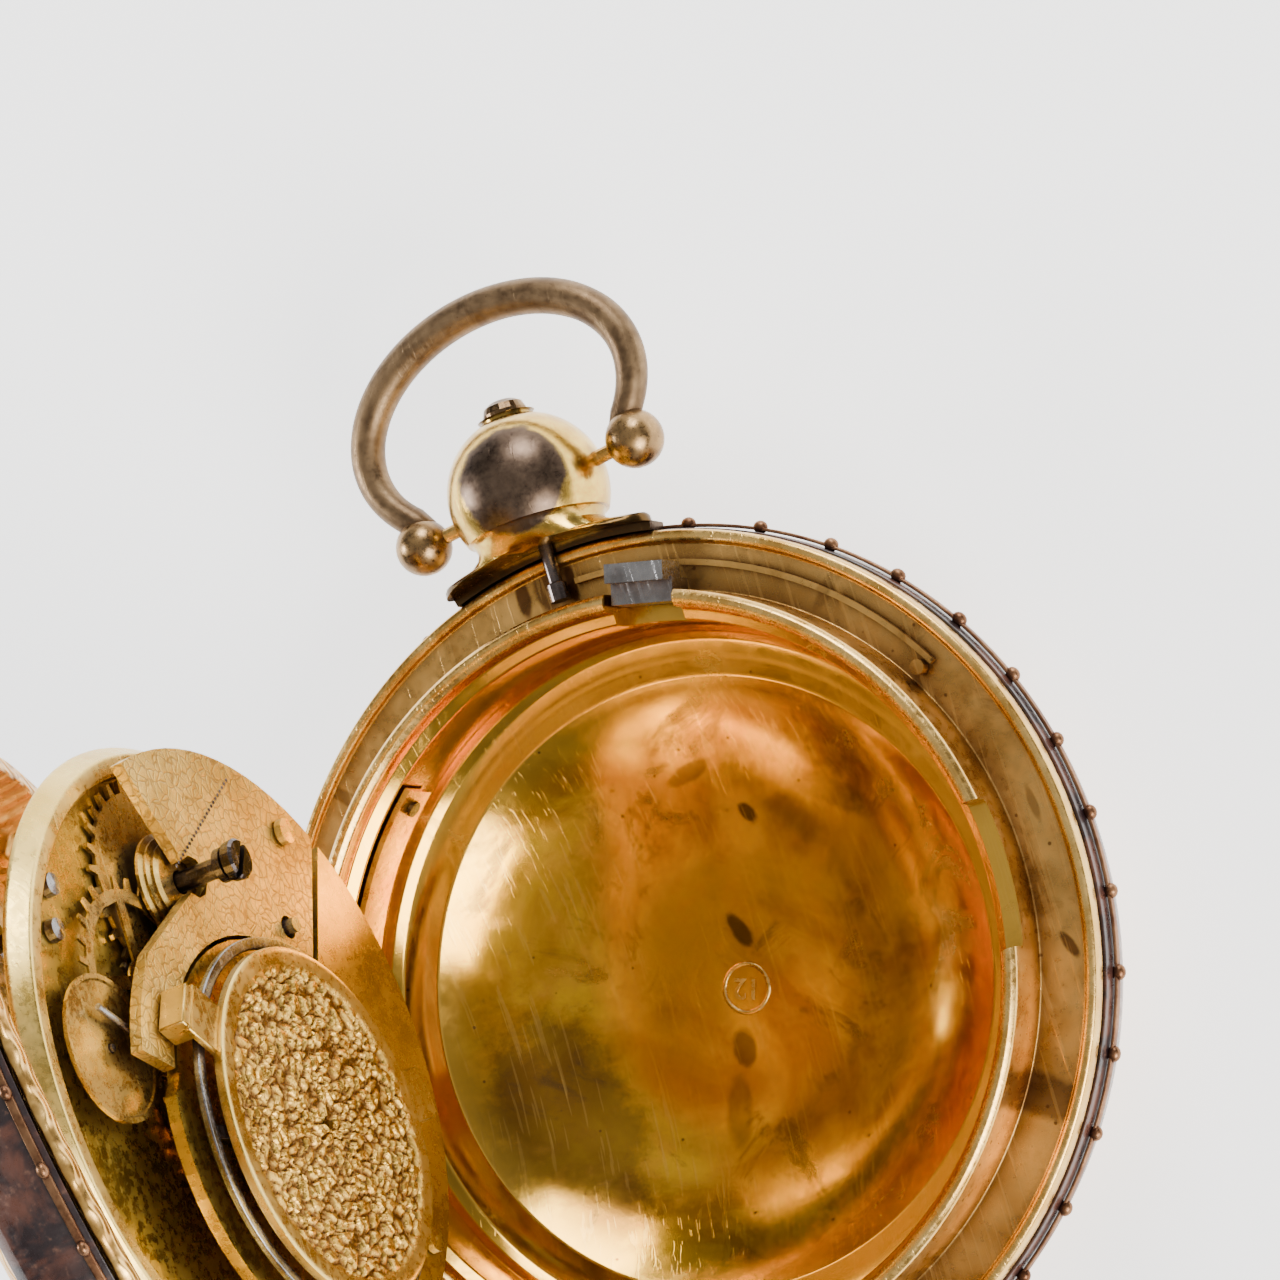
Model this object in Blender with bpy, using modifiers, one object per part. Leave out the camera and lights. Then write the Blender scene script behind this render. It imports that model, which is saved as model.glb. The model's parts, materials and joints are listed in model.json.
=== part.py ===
"""Hunter pocket watch with a swing-out verge movement, lying open on its back.

Metres, +Z up. The origin is the centre of the flat back. +Z is the front of the
watch, +Y points to the pendant at 12 o'clock and both covers hinge near -X.
The helpers take millimetres. Heights are given above the rim plane of the case,
and pieces on the movement and on the lid are given where they lie when shut.
"""
import math

import bmesh
import bpy
from mathutils import Matrix, Vector

MM = 0.001

# Driving dimensions, in millimetres
RIM_HEIGHT = 11.0          # rim plane above the flat back
CASE_RADIUS = 26.0
LEDGE_RADIUS = 25.2
LEDGE_Z = -0.4
COLLAR_RADIUS = 22.4
COLLAR_TOP = 3.1
WALL_RADIUS = 20.7
FLOOR_RADIUS = 17.8
FLOOR_EDGE_Z = -4.4
FLOOR_CENTRE_Z = -9.1
FLAT_RADIUS = 13.0
SKIN_RADIUS = 26.1
BAND_RADIUS = 26.4
STUD_TIP = 26.8
STUD_COUNT = 36
CLAW_COUNT = 96
TURN_STEPS = 48
SMALL_STEPS = 24

MOVE_HINGE = Vector((-21.04, 0.0, 3.3))
MOVE_OPEN = math.radians(91.6)
LID_HINGE_RADIUS = 27.0
LID_HINGE_TURN = math.radians(10.0)
LID_HINGE_Z = 0.0
LID_OPEN = math.radians(75.5)
KNUCKLE_RADIUS = 0.85
PIN_RADIUS = 0.35
GAP = 0.15

PENDANT_Y = 29.8
PENDANT_Z = 0.3
PENDANT_RADIUS = 4.75
BUTTON_RADIUS = 1.3
BOW_BALL_X = 7.44
BOW_BALL_RADIUS = 1.72
BOW_TILT = math.radians(-2.0)
BOW_YAW = math.radians(5.0)
CATCH_ANGLE = math.radians(74.5)

PLATE_RADIUS = 19.6
PLATE_FRONT = -0.5
PLATE_BACK = -1.85
POCKET_FLOOR = -1.0
TOP_RADIUS = 18.4
TOP_HIGH = -3.2            # upper plates, side towards the train
TOP_LOW = -3.95            # upper plates, side towards the back
BALANCE_CENTRE = (-1.4, -4.3)
BALANCE_RADIUS = 11.2
COCK_RADIUS = 10.3
COCK_HIGH = -5.6
COCK_LOW = -6.15
MODULE = 0.42
WINDING_CENTRE = (1.6, 10.8)
BARREL_CENTRE = (-7.2, 7.9)
FUSEE_TEETH = 30
CENTRE_PINION = 22
CENTRE_TEETH = 35
THIRD_TEETH = 28
PINION = 6
THIRD_ANGLE = math.radians(38.0)
CONTRATE_ANGLE = math.radians(-33.0)
CROWN_TURN = math.radians(27.5)
CROWN_PLACE = (0.9, -3.1)
CROWN_HEIGHT = -2.75
CROWN_REACH = 14.6


def clear_scene():
    for old in list(bpy.data.objects):
        bpy.data.objects.remove(old, do_unlink=True)


clear_scene()
PARTS = bpy.data.collections.new("hunter_watch")
CUTTERS = bpy.data.collections.new("cutters")
bpy.context.scene.collection.children.link(PARTS)
bpy.context.scene.collection.children.link(CUTTERS)


# ---------------------------------------------------------------- materials

def material(name, colour, roughness, metallic):
    made = bpy.data.materials.new(name)
    made.use_nodes = True
    shader = made.node_tree.nodes["Principled BSDF"]
    shader.inputs["Base Color"].default_value = (*colour, 1.0)
    shader.inputs["Roughness"].default_value = roughness
    shader.inputs["Metallic"].default_value = metallic
    return made


GILT = material("gilt_brass", (0.80, 0.53, 0.17), 0.28, 1.0)
PALE_GILT = material("pale_gilt", (0.78, 0.63, 0.33), 0.38, 1.0)
DARK_GILT = material("dark_gilt", (0.42, 0.30, 0.09), 0.22, 1.0)
TARNISHED = material("tarnished_brass", (0.36, 0.27, 0.17), 0.42, 1.0)
SKIN = material("tortoiseshell", (0.10, 0.04, 0.035), 0.35, 0.0)
STUD = material("stud_brass", (0.38, 0.22, 0.12), 0.45, 1.0)
STEEL = material("steel", (0.45, 0.46, 0.48), 0.25, 1.0)
DARK_STEEL = material("dark_steel", (0.07, 0.065, 0.07), 0.3, 1.0)
BLUED = material("blued_steel", (0.05, 0.07, 0.2), 0.25, 1.0)
ENAMEL = material("enamel", (0.86, 0.85, 0.8), 0.15, 0.0)
CRYSTAL = material("crystal", (0.9, 0.95, 0.95), 0.02, 0.0)


# ---------------------------------------------------------------- frames

def empty(name, place, turn=Matrix.Identity(3)):
    """A named reference point; place is in mm above the rim plane."""
    guide = bpy.data.objects.new(name, None)
    PARTS.objects.link(guide)
    height = Vector((0.0, 0.0, RIM_HEIGHT))
    guide.matrix_world = Matrix.Translation((Vector(place) + height) * MM) @ turn.to_4x4()
    return guide


class Frame:
    """Where a group of pieces is parented, and the shut position of its origin."""

    def __init__(self, guide, shut_origin):
        self.guide = guide
        self.origin = Vector(shut_origin)


LID_HINGE = Vector((-LID_HINGE_RADIUS * math.cos(LID_HINGE_TURN),
                    -LID_HINGE_RADIUS * math.sin(LID_HINGE_TURN), LID_HINGE_Z))
LID_SPIN = Matrix.Rotation(LID_HINGE_TURN, 3, "Z") @ Matrix.Rotation(-LID_OPEN, 3, "Y")
LID_SPIN = LID_SPIN @ Matrix.Rotation(-LID_HINGE_TURN, 3, "Z")

CASE = Frame(empty("case_frame", (0.0, 0.0, 0.0)), (0.0, 0.0, 0.0))
MOVEMENT = Frame(empty("movement_frame", MOVE_HINGE, Matrix.Rotation(-MOVE_OPEN, 3, "Y")), MOVE_HINGE)
LID = Frame(empty("lid_frame", LID_HINGE, LID_SPIN), LID_HINGE)


def seat(obj, frame, at, turn=None):
    """Parents an object to a frame with its origin at a shut position in mm."""
    obj.parent = frame.guide
    obj.location = (Vector(at) - frame.origin) * MM
    if turn is not None:
        obj.rotation_euler = turn
    return obj


def finish(obj, shade):
    obj.data.materials.clear()
    obj.data.materials.append(shade)
    return obj


def smooth(mesh, angle=35.0):
    mesh.shade_smooth()
    mesh.set_sharp_from_angle(angle=math.radians(angle))


# ---------------------------------------------------------------- shape helpers

def turned(name, profile, frame, at=(0.0, 0.0, 0.0), shade=GILT, steps=TURN_STEPS, closed=False,
           turn=None, group=PARTS):
    """A lathe shape about the local Z axis; the profile runs down its outer side."""
    mesh = bpy.data.meshes.new(name)
    points = [(r * MM, 0.0, z * MM) for r, z in profile]
    edges = [(i, i + 1) for i in range(len(points) - 1)]
    if closed:
        edges.append((len(points) - 1, 0))
    mesh.from_pydata(points, edges, [])
    obj = bpy.data.objects.new(name, mesh)
    group.objects.link(obj)
    screw = obj.modifiers.new("turn", "SCREW")
    screw.steps = steps
    screw.render_steps = steps
    screw.use_merge_vertices = True
    screw.merge_threshold = 0.00001
    screw.use_smooth_shade = True
    finish(obj, shade)
    return seat(obj, frame, at, turn)


def cylinder(name, radius, low, high, frame, at, shade=STEEL, steps=SMALL_STEPS, turn=None, group=PARTS):
    profile = [(0.0, high), (radius, high), (radius, low), (0.0, low)]
    return turned(name, profile, frame, at, shade, steps, turn=turn, group=group)


def mesh_object(name, mesh, frame, at, shade, turn=None, group=PARTS):
    obj = bpy.data.objects.new(name, mesh)
    group.objects.link(obj)
    finish(obj, shade)
    return seat(obj, frame, at, turn)


def prism(name, outlines, low, high, frame, at=(0.0, 0.0, 0.0), shade=GILT, turn=None, group=PARTS):
    """A flat plate: the first outline is its edge and the others are holes."""
    curve = bpy.data.curves.new(name, "CURVE")
    curve.dimensions = "2D"
    curve.fill_mode = "BOTH"
    curve.extrude = (high - low) * 0.5 * MM
    for outline in outlines:
        spline = curve.splines.new("POLY")
        spline.points.add(len(outline) - 1)
        for point, (x, y) in zip(spline.points, outline):
            point.co = (x * MM, y * MM, 0.0, 1.0)
        spline.use_cyclic_u = True
    guide = bpy.data.objects.new(name + "_outline", curve)
    group.objects.link(guide)
    bpy.context.view_layer.update()
    evaluated = guide.evaluated_get(bpy.context.evaluated_depsgraph_get())
    mesh = bpy.data.meshes.new_from_object(evaluated)
    bpy.data.objects.remove(guide, do_unlink=True)
    mesh.name = name
    shape = bmesh.new()
    shape.from_mesh(mesh)
    bmesh.ops.remove_doubles(shape, verts=shape.verts, dist=0.000001)
    bmesh.ops.translate(shape, verts=shape.verts, vec=(0.0, 0.0, (low + high) * 0.5 * MM))
    bmesh.ops.recalc_face_normals(shape, faces=shape.faces)
    shape.to_mesh(mesh)
    shape.free()
    return mesh_object(name, mesh, frame, at, shade, turn, group)


def block(name, size, frame, at, shade=GILT, turn=None, group=PARTS):
    shape = bmesh.new()
    bmesh.ops.create_cube(shape, size=1.0)
    bmesh.ops.scale(shape, vec=[s * MM for s in size], verts=shape.verts)
    mesh = bpy.data.meshes.new(name)
    shape.to_mesh(mesh)
    shape.free()
    return mesh_object(name, mesh, frame, at, shade, turn, group)


def wire(name, points, radius, frame, at, shade, resolution=2, radii=None):
    """A round wire along points, with filled and welded ends."""
    curve = bpy.data.curves.new(name, "CURVE")
    curve.dimensions = "3D"
    curve.bevel_depth = radius * MM
    curve.bevel_resolution = resolution
    curve.use_fill_caps = True
    spline = curve.splines.new("POLY")
    spline.points.add(len(points) - 1)
    for index, (point, place) in enumerate(zip(spline.points, points)):
        point.co = (*(Vector(place) * MM), 1.0)
        point.radius = 1.0 if radii is None else radii[index]
    guide = bpy.data.objects.new(name + "_path", curve)
    PARTS.objects.link(guide)
    bpy.context.view_layer.update()
    evaluated = guide.evaluated_get(bpy.context.evaluated_depsgraph_get())
    mesh = bpy.data.meshes.new_from_object(evaluated)
    bpy.data.objects.remove(guide, do_unlink=True)
    shape = bmesh.new()
    shape.from_mesh(mesh)
    bmesh.ops.remove_doubles(shape, verts=shape.verts, dist=0.000001)
    bmesh.ops.recalc_face_normals(shape, faces=shape.faces)
    shape.to_mesh(mesh)
    shape.free()
    smooth(mesh, 50.0)
    mesh.name = name
    return mesh_object(name, mesh, frame, at, shade)


def boolean(obj, other, kind="DIFFERENCE"):
    """Cuts or joins with another object, which becomes a hidden guide."""
    step = obj.modifiers.new(kind.lower(), "BOOLEAN")
    step.operation = kind
    step.solver = "EXACT"
    step.object = other
    other.hide_render = True
    other.display_type = "WIRE"
    return obj


def circle(radius, centre=(0.0, 0.0), sides=24, start=0.0, stop=2 * math.pi, ends=False):
    """Points on a circle or, with ends, on an arc that keeps both end points."""
    count = sides if not ends else sides - 1
    return [(centre[0] + radius * math.cos(start + (stop - start) * i / count),
             centre[1] + radius * math.sin(start + (stop - start) * i / count)) for i in range(sides)]


def gear_outline(teeth, phase=0.0, slim=0.36, module=MODULE):
    """A wheel's edge with straight-sided teeth, slim enough to run with clearance."""
    pitch = teeth * module / 2
    root = pitch - 1.05 * module
    tip = pitch + 0.72 * module
    step = 2 * math.pi / teeth
    points = []
    for tooth in range(teeth):
        middle = phase + tooth * step
        for radius, share in ((root, -0.62), (tip, -0.30), (tip, 0.30), (root, 0.62)):
            angle = middle + share * slim * step
            points.append((radius * math.cos(angle), radius * math.sin(angle)))
    return points


def spoke_holes(count, inner, outer, width, phase=0.0, sides=5):
    """The openings between a wheel's arms."""
    holes = []
    for arm in range(count):
        first = phase + 2 * math.pi * arm / count
        last = phase + 2 * math.pi * (arm + 1) / count
        outer_pad = width / outer * 0.5
        inner_pad = width / inner * 0.5
        outer_arc = circle(outer, sides=sides, start=first + outer_pad, stop=last - outer_pad, ends=True)
        inner_arc = circle(inner, sides=sides, start=last - inner_pad, stop=first + inner_pad, ends=True)
        holes.append(outer_arc + inner_arc)
    return holes


# ---------------------------------------------------------------- case

def floor_z(radius):
    """The dished inside of the bowl."""
    return FLOOR_CENTRE_Z + (FLOOR_EDGE_Z - FLOOR_CENTRE_Z) * (radius / FLOOR_RADIUS) ** 3.2


FLOOR_STATIONS = (0.0, 7.0, 11.5, 15.0, FLOOR_RADIUS)
BOWL_WALL = 0.85


def build_case_body():
    inside = [(r, floor_z(r)) for r in FLOOR_STATIONS]
    wall = [(19.1, -4.2), (20.3, -3.4), (WALL_RADIUS, -2.2), (WALL_RADIUS, 1.3), (21.35, 1.75),
            (21.4, 2.75), (21.75, COLLAR_TOP), (22.1, COLLAR_TOP), (COLLAR_RADIUS, 2.8)]
    ledge = [(COLLAR_RADIUS, LEDGE_Z), (LEDGE_RADIUS, LEDGE_Z), (LEDGE_RADIUS + 0.1, -0.1),
             (25.6, 0.0), (25.9, -0.1), (CASE_RADIUS, -0.35), (CASE_RADIUS, -1.0)]
    under = [(21.7, -1.3), (21.5, -2.5), (21.0, -3.9), (19.6, -4.95)]
    outside = [(r, floor_z(r) - BOWL_WALL) for r in reversed(FLOOR_STATIONS)]
    body = turned("case_body", inside + wall + ledge + under + outside, CASE)
    slot_turn = (0.0, 0.0, CATCH_ANGLE)
    catch_at = (21.9 * math.cos(CATCH_ANGLE), 21.9 * math.sin(CATCH_ANGLE), 2.2)
    boolean(body, block("catch_gap", (3.6, 4.4, 4.0), CASE, catch_at, turn=slot_turn, group=CUTTERS))
    boolean(body, block("nail_notch", (3.6, 8.6, 2.6), CASE, (21.9, -1.0, 3.1), group=CUTTERS))
    boolean(body, block("joint_recess", (4.0, 9.4, 4.3), CASE, (-21.9, 0.0, 4.0), group=CUTTERS))
    boolean(body, block("leaf_recess", (1.6, 4.0, 5.0), CASE, (-20.4, 0.0, 1.9), group=CUTTERS))
    boolean(body, cylinder("push_rod_bore", 0.6, -2.0, 2.0, CASE, (0.0, 25.6, PENDANT_Z),
                           turn=(math.radians(90), 0.0, 0.0), group=CUTTERS))
    return body


def build_back():
    under = [(r, floor_z(r) - BOWL_WALL - 0.25) for r in FLOOR_STATIONS]
    inner = under + [(19.75, -5.25), (21.3, -4.1), (21.85, -2.5), (22.0, -1.6)]
    outer = [(25.3, -1.6), (25.6, -2.2), (25.3, -3.6), (24.2, -5.7), (22.2, -7.9), (19.2, -9.7),
             (16.0, -10.7), (FLAT_RADIUS, -RIM_HEIGHT), (0.0, -RIM_HEIGHT)]
    turned("back_shell", inner + outer, CASE)
    skin_inner = [(24.5, -5.9), (25.55, -3.75), (25.85, -2.3), (25.85, -1.2)]
    skin_outer = [(SKIN_RADIUS, -1.2), (SKIN_RADIUS, -2.8), (25.95, -3.8), (24.95, -6.1)]
    turned("back_covering", skin_inner + skin_outer, CASE, shade=SKIN, closed=True)


def stud_band(name, frame, height, skip):
    """A thin band around an edge with a stud head at each step, left out where skip says."""
    outline = []
    for index in range(STUD_COUNT * 2):
        angle = math.pi * (index + 0.5) / STUD_COUNT
        if index % 2 or skip(angle):
            outline.append((BAND_RADIUS * math.cos(angle), BAND_RADIUS * math.sin(angle)))
            continue
        for radius, reach in ((BAND_RADIUS, -0.021), (STUD_TIP, -0.009), (STUD_TIP, 0.009), (BAND_RADIUS, 0.021)):
            outline.append((radius * math.cos(angle + reach), radius * math.sin(angle + reach)))
    hole = circle(BAND_RADIUS - 0.2, sides=48)
    return prism(name, [outline, hole], height - 0.35, height + 0.35, frame, shade=STUD)


def near(angle, target, reach):
    return abs(math.remainder(angle - target, 2 * math.pi)) < reach


def build_pendant():
    """Ball, waist and foot, lofted along Y with an oval foot."""
    sections = [(25.3, 6.9, 2.6), (26.2, 6.7, 2.5), (26.5, 4.9, 2.6), (27.0, 3.9, 3.4), (27.5, 4.05, 4.0)]
    for index in range(1, 9):
        angle = math.radians(-50 + 16.5 * index)
        radius = PENDANT_RADIUS * math.cos(angle)
        sections.append((PENDANT_Y + PENDANT_RADIUS * math.sin(angle), radius, radius))
    sides = 24
    shape = bmesh.new()
    rings = []
    for y, half_x, half_z in sections:
        ring = []
        for side in range(sides):
            angle = 2 * math.pi * side / sides
            place = (half_x * math.cos(angle), y - PENDANT_Y, half_z * math.sin(angle))
            ring.append(shape.verts.new(Vector(place) * MM))
        rings.append(ring)
    for lower, upper in zip(rings, rings[1:]):
        for side in range(sides):
            following = (side + 1) % sides
            shape.faces.new((lower[side], lower[following], upper[following], upper[side]))
    shape.faces.new(rings[0])
    shape.faces.new(list(reversed(rings[-1])))
    bmesh.ops.recalc_face_normals(shape, faces=shape.faces)
    mesh = bpy.data.meshes.new("pendant")
    shape.to_mesh(mesh)
    shape.free()
    smooth(mesh, 40.0)
    pendant = mesh_object("pendant", mesh, CASE, (0.0, PENDANT_Y, PENDANT_Z), GILT)
    band = cylinder("band_clearance", BAND_RADIUS + 0.12, -8.0, 8.0, CASE, (0.0, 0.0, 0.0),
                    steps=96, group=CUTTERS)
    boolean(pendant, band)
    upright = (math.radians(-90), 0.0, 0.0)
    bore = [(0.0, 8.0), (BUTTON_RADIUS + GAP, 8.0), (BUTTON_RADIUS + GAP, 1.6), (0.6, 1.6),
            (0.6, -6.0), (0.0, -6.0)]
    boolean(pendant, turned("pendant_bore", bore, CASE, (0.0, PENDANT_Y, PENDANT_Z), steps=20,
                            turn=upright, group=CUTTERS))
    for side in (-1, 1):
        boolean(pendant, cylinder("bow_pin_hole", 0.62, -1.4, 1.4, CASE,
                                  on_bow_axis(side * 4.6), steps=16,
                                  turn=(0.0, math.radians(90), BOW_YAW), group=CUTTERS))


def build_button():
    upright = (math.radians(-90), 0.0, 0.0)
    head = [(0.0, 5.75), (0.75, 5.65), (1.15, 5.4), (BUTTON_RADIUS, 5.0), (BUTTON_RADIUS, 2.9),
            (0.4, 2.9), (0.4, -5.5), (0.6, -5.6), (0.6, -6.6), (0.0, -6.6)]
    turned("pendant_button", head, CASE, (0.0, PENDANT_Y, PENDANT_Z), TARNISHED, SMALL_STEPS, turn=upright)


def bow_points():
    """The loop in its own plane: X along the pivots, Y away from them."""
    points = [(BOW_BALL_X, 0.6)]
    for step in range(23):
        angle = math.radians(-38 + step * 256 / 22)
        points.append((8.99 * math.cos(angle), 5.15 + 6.28 * math.sin(angle)))
    points.append((-BOW_BALL_X, 0.6))
    tilt = Matrix.Rotation(BOW_YAW, 3, "Z") @ Matrix.Rotation(BOW_TILT, 3, "X")
    return [tilt @ Vector((x, y, 0.0)) for x, y in points]


def on_bow_axis(distance):
    return (distance * math.cos(BOW_YAW), PENDANT_Y + distance * math.sin(BOW_YAW), PENDANT_Z)


def build_bow():
    points = bow_points()
    count = len(points) - 1
    radii = [0.82 + 0.18 * math.sin(math.pi * i / count) for i in range(count + 1)]
    loop = wire("bow", points, 1.1, CASE, (0.0, PENDANT_Y, PENDANT_Z), TARNISHED, radii=radii)
    across = (0.0, math.radians(90), BOW_YAW)
    for side in (-1, 1):
        ball_mesh = bpy.data.meshes.new("bow_ball")
        shape = bmesh.new()
        bmesh.ops.create_uvsphere(shape, u_segments=16, v_segments=8, radius=BOW_BALL_RADIUS * MM)
        shape.to_mesh(ball_mesh)
        shape.free()
        ball = mesh_object("bow_ball", ball_mesh, CASE, on_bow_axis(side * BOW_BALL_X), TARNISHED, group=CUTTERS)
        boolean(loop, ball, "UNION")
    for side in (-1, 1):
        boolean(loop, cylinder("bow_ball_hole", 0.62, -1.2, 1.2, CASE, on_bow_axis(side * 5.7), steps=16,
                               turn=across, group=CUTTERS))
    for name, side in (("bow_pin_left", -1), ("bow_pin_right", 1)):
        cylinder(name, 0.45, -1.25, 1.25, CASE, on_bow_axis(side * 5.25), GILT, 12, turn=across)


def build_catch():
    """The lid catch, its spring on the ledge, and the rivet that holds the spring."""
    turn = (0.0, 0.0, CATCH_ANGLE)
    x = math.cos(CATCH_ANGLE)
    y = math.sin(CATCH_ANGLE)
    tongue = block("lid_catch", (1.4, 3.9, 2.05), CASE, (22.35 * x, 22.35 * y, 1.375), shade=STEEL, turn=turn)
    head = block("catch_head", (1.1, 3.7, 2.3), CASE, (23.4 * x, 23.4 * y, 2.25), turn=turn, group=CUTTERS)
    boolean(tongue, head, "UNION")
    outline = circle(24.25, sides=18, start=math.radians(30), stop=math.radians(87.5), ends=True)
    outline += circle(23.9, sides=18, start=math.radians(87.5), stop=math.radians(30), ends=True)
    prism("lock_spring", [outline], -0.28, 0.05, CASE, shade=STEEL)
    cylinder("lock_spring_rivet", 0.45, -0.28, 0.35, CASE,
             (23.3 * math.cos(math.radians(31)), 23.3 * math.sin(math.radians(31)), 0.0), shade=STEEL, steps=12)


def build_fly_spring():
    """The spring on the inner wall that throws the lid open, with its screw."""
    start = math.radians(128)
    stop = math.radians(166)
    outline = circle(20.5, sides=12, start=start, stop=stop, ends=True)
    outline += circle(20.15, sides=12, start=stop, stop=start, ends=True)
    prism("fly_spring", [outline], -1.6, 1.1, CASE)
    angle = math.radians(131)
    cylinder("fly_spring_screw", 0.5, -0.11, 0.11, CASE, (19.93 * math.cos(angle), 19.93 * math.sin(angle), -0.1),
             shade=DARK_STEEL, steps=12, turn=(0.0, math.radians(90), angle))


# ---------------------------------------------------------------- hinges

def knuckles(name, frame, hinge, spans, feet, shade, spin=0.0):
    """Barrels along the hinge axis, each joined to a foot block, with a pin hole."""
    turn = Matrix.Rotation(spin, 3, "Z")
    first = None
    for low, high in spans:
        middle = hinge + turn @ Vector((0.0, (low + high) / 2, 0.0))
        barrel_name = name if first is None else name + "_barrel"
        barrel = cylinder(barrel_name, KNUCKLE_RADIUS, -(high - low) / 2, (high - low) / 2, frame, middle,
                          shade=shade, steps=16, turn=(math.radians(90), 0.0, spin),
                          group=PARTS if first is None else CUTTERS)
        if first is None:
            first = barrel
        else:
            boolean(first, barrel, "UNION")
    for offset, size in feet:
        foot = block(name + "_foot", size, frame, hinge + turn @ Vector(offset), turn=(0.0, 0.0, spin),
                     group=CUTTERS)
        boolean(first, foot, "UNION")
    length = max(abs(value) for span in spans for value in span) + 1.0
    boolean(first, cylinder(name + "_hole", PIN_RADIUS + 0.08, -length, length, frame, hinge, steps=14,
                            turn=(math.radians(90), 0.0, spin), group=CUTTERS))
    return first


def build_hinges():
    sides = [(-4.4, -1.95), (1.95, 4.4)]
    case_feet = [((-0.62, 0.0, -1.15), (1.25, 8.8, 0.4))]
    case_feet += [((-0.6, y, -0.8), (1.2, 2.4, 0.6)) for y in (-3.2, 3.2)]
    knuckles("movement_hinge_case", CASE, MOVE_HINGE, sides, case_feet, GILT)
    leaf = [((0.7, 0.0, -1.8), (0.9, 3.4, 3.7)), ((1.7, 0.0, -3.45), (2.6, 3.4, 0.4))]
    knuckles("movement_hinge_leaf", MOVEMENT, MOVE_HINGE, [(-1.8, 1.8)], leaf, PALE_GILT)
    upright = math.radians(90)
    cylinder("movement_hinge_pin", PIN_RADIUS, -4.4, 4.4, CASE, MOVE_HINGE, steps=12, turn=(upright, 0.0, 0.0))
    lid_sides = [(-5.0, -2.3), (2.3, 5.0)]
    lid_feet = [((0.4, 0.0, -1.2), (0.8, 10.0, 0.5))]
    lid_feet += [((0.4, y, -0.8), (0.8, 2.6, 0.6)) for y in (-3.65, 3.65)]
    knuckles("lid_hinge_case", CASE, LID_HINGE, lid_sides, lid_feet, TARNISHED, LID_HINGE_TURN)
    lid_leaf = [((0.35, 0.0, 0.7), (0.9, 3.8, 0.6))]
    knuckles("lid_hinge_leaf", LID, LID_HINGE, [(-2.15, 2.15)], lid_leaf, TARNISHED, LID_HINGE_TURN)
    cylinder("lid_hinge_pin", PIN_RADIUS, -5.0, 5.0, CASE, LID_HINGE, steps=12,
             turn=(upright, 0.0, LID_HINGE_TURN))


# ---------------------------------------------------------------- lid

def build_lid():
    inside = [(0.0, 8.4), (8.0, 8.2), (14.0, 7.7), (19.0, 6.8), (22.0, 5.6), (24.0, 3.9), (24.6, 2.2), (24.6, 0.15)]
    outside = [(25.7, 0.15), (CASE_RADIUS, 0.45), (CASE_RADIUS, 0.9), (25.3, 1.05), (25.2, 2.6),
               (24.2, 4.6), (22.4, 6.3), (19.0, 7.6), (14.0, 8.5), (8.0, 9.0), (0.0, 9.2)]
    lid = turned("front_lid", list(reversed(outside)) + list(reversed(inside)), LID)
    boolean(lid, block("push_rod_notch", (1.4, 3.0, 2.0), LID, (0.0, 25.2, 0.0), group=CUTTERS))
    skin = [(24.2, 6.1), (25.45, 4.6), (26.1, 2.9), (26.1, 1.05), (25.6, 1.15), (25.5, 2.7), (24.7, 4.5), (23.7, 5.9)]
    turned("lid_covering", skin, LID, shade=SKIN, closed=True)
    toothed = []
    for tooth in range(CLAW_COUNT):
        angle = 2 * math.pi * tooth / CLAW_COUNT
        for radius, share in ((18.0, 0.0), (17.2, 0.7)):
            turn = angle + share * 2 * math.pi / CLAW_COUNT
            toothed.append((radius * math.cos(turn), radius * math.sin(turn)))
    prism("lid_claw_ring", [circle(22.3, sides=72), toothed], 4.5, 4.9, LID, shade=PALE_GILT)
    glass = [(0.0, 6.1), (10.0, 5.9), (19.4, 5.5), (19.4, 5.1), (10.0, 5.5), (0.0, 5.7)]
    turned("lid_crystal", glass, LID, shade=CRYSTAL, steps=48)
    stud_band("lid_studs", LID, 1.65,
              lambda angle: near(angle, math.pi / 2, 0.27) or near(angle, math.pi + LID_HINGE_TURN, 0.26))


# ---------------------------------------------------------------- movement

def wheel(name, teeth, low, high, at, shade, phase=0.0, arms=0, bore=0.0, arbor=None):
    """A toothed wheel in the movement, bored for an arbor or made in one with it."""
    outlines = [gear_outline(teeth, phase)]
    pitch = teeth * MODULE / 2
    if arms:
        outlines += spoke_holes(arms, 1.3, pitch - 1.15, 0.75)
    if bore:
        outlines.append(circle(bore, sides=12))
    made = prism(name, outlines, low, high, MOVEMENT, (*at, 0.0), shade)
    if arbor:
        radius, bottom, top = arbor
        boolean(made, cylinder(name + "_arbor", radius, bottom, top, MOVEMENT, (*at, 0.0), steps=12,
                               group=CUTTERS), "UNION")
    return made


def geared(centre, angle, teeth_a, teeth_b):
    """The centre of a wheel in mesh with one at centre, in a direction."""
    reach = (teeth_a + teeth_b) * MODULE / 2
    return (centre[0] + reach * math.cos(angle), centre[1] + reach * math.sin(angle))


def mesh_phase(phase_a, teeth_a, teeth_b, angle):
    """The turn that puts a gap of the second wheel on a tooth of the first."""
    along = (angle - phase_a) * teeth_a
    return angle + math.pi + (along + math.pi) / teeth_b


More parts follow.
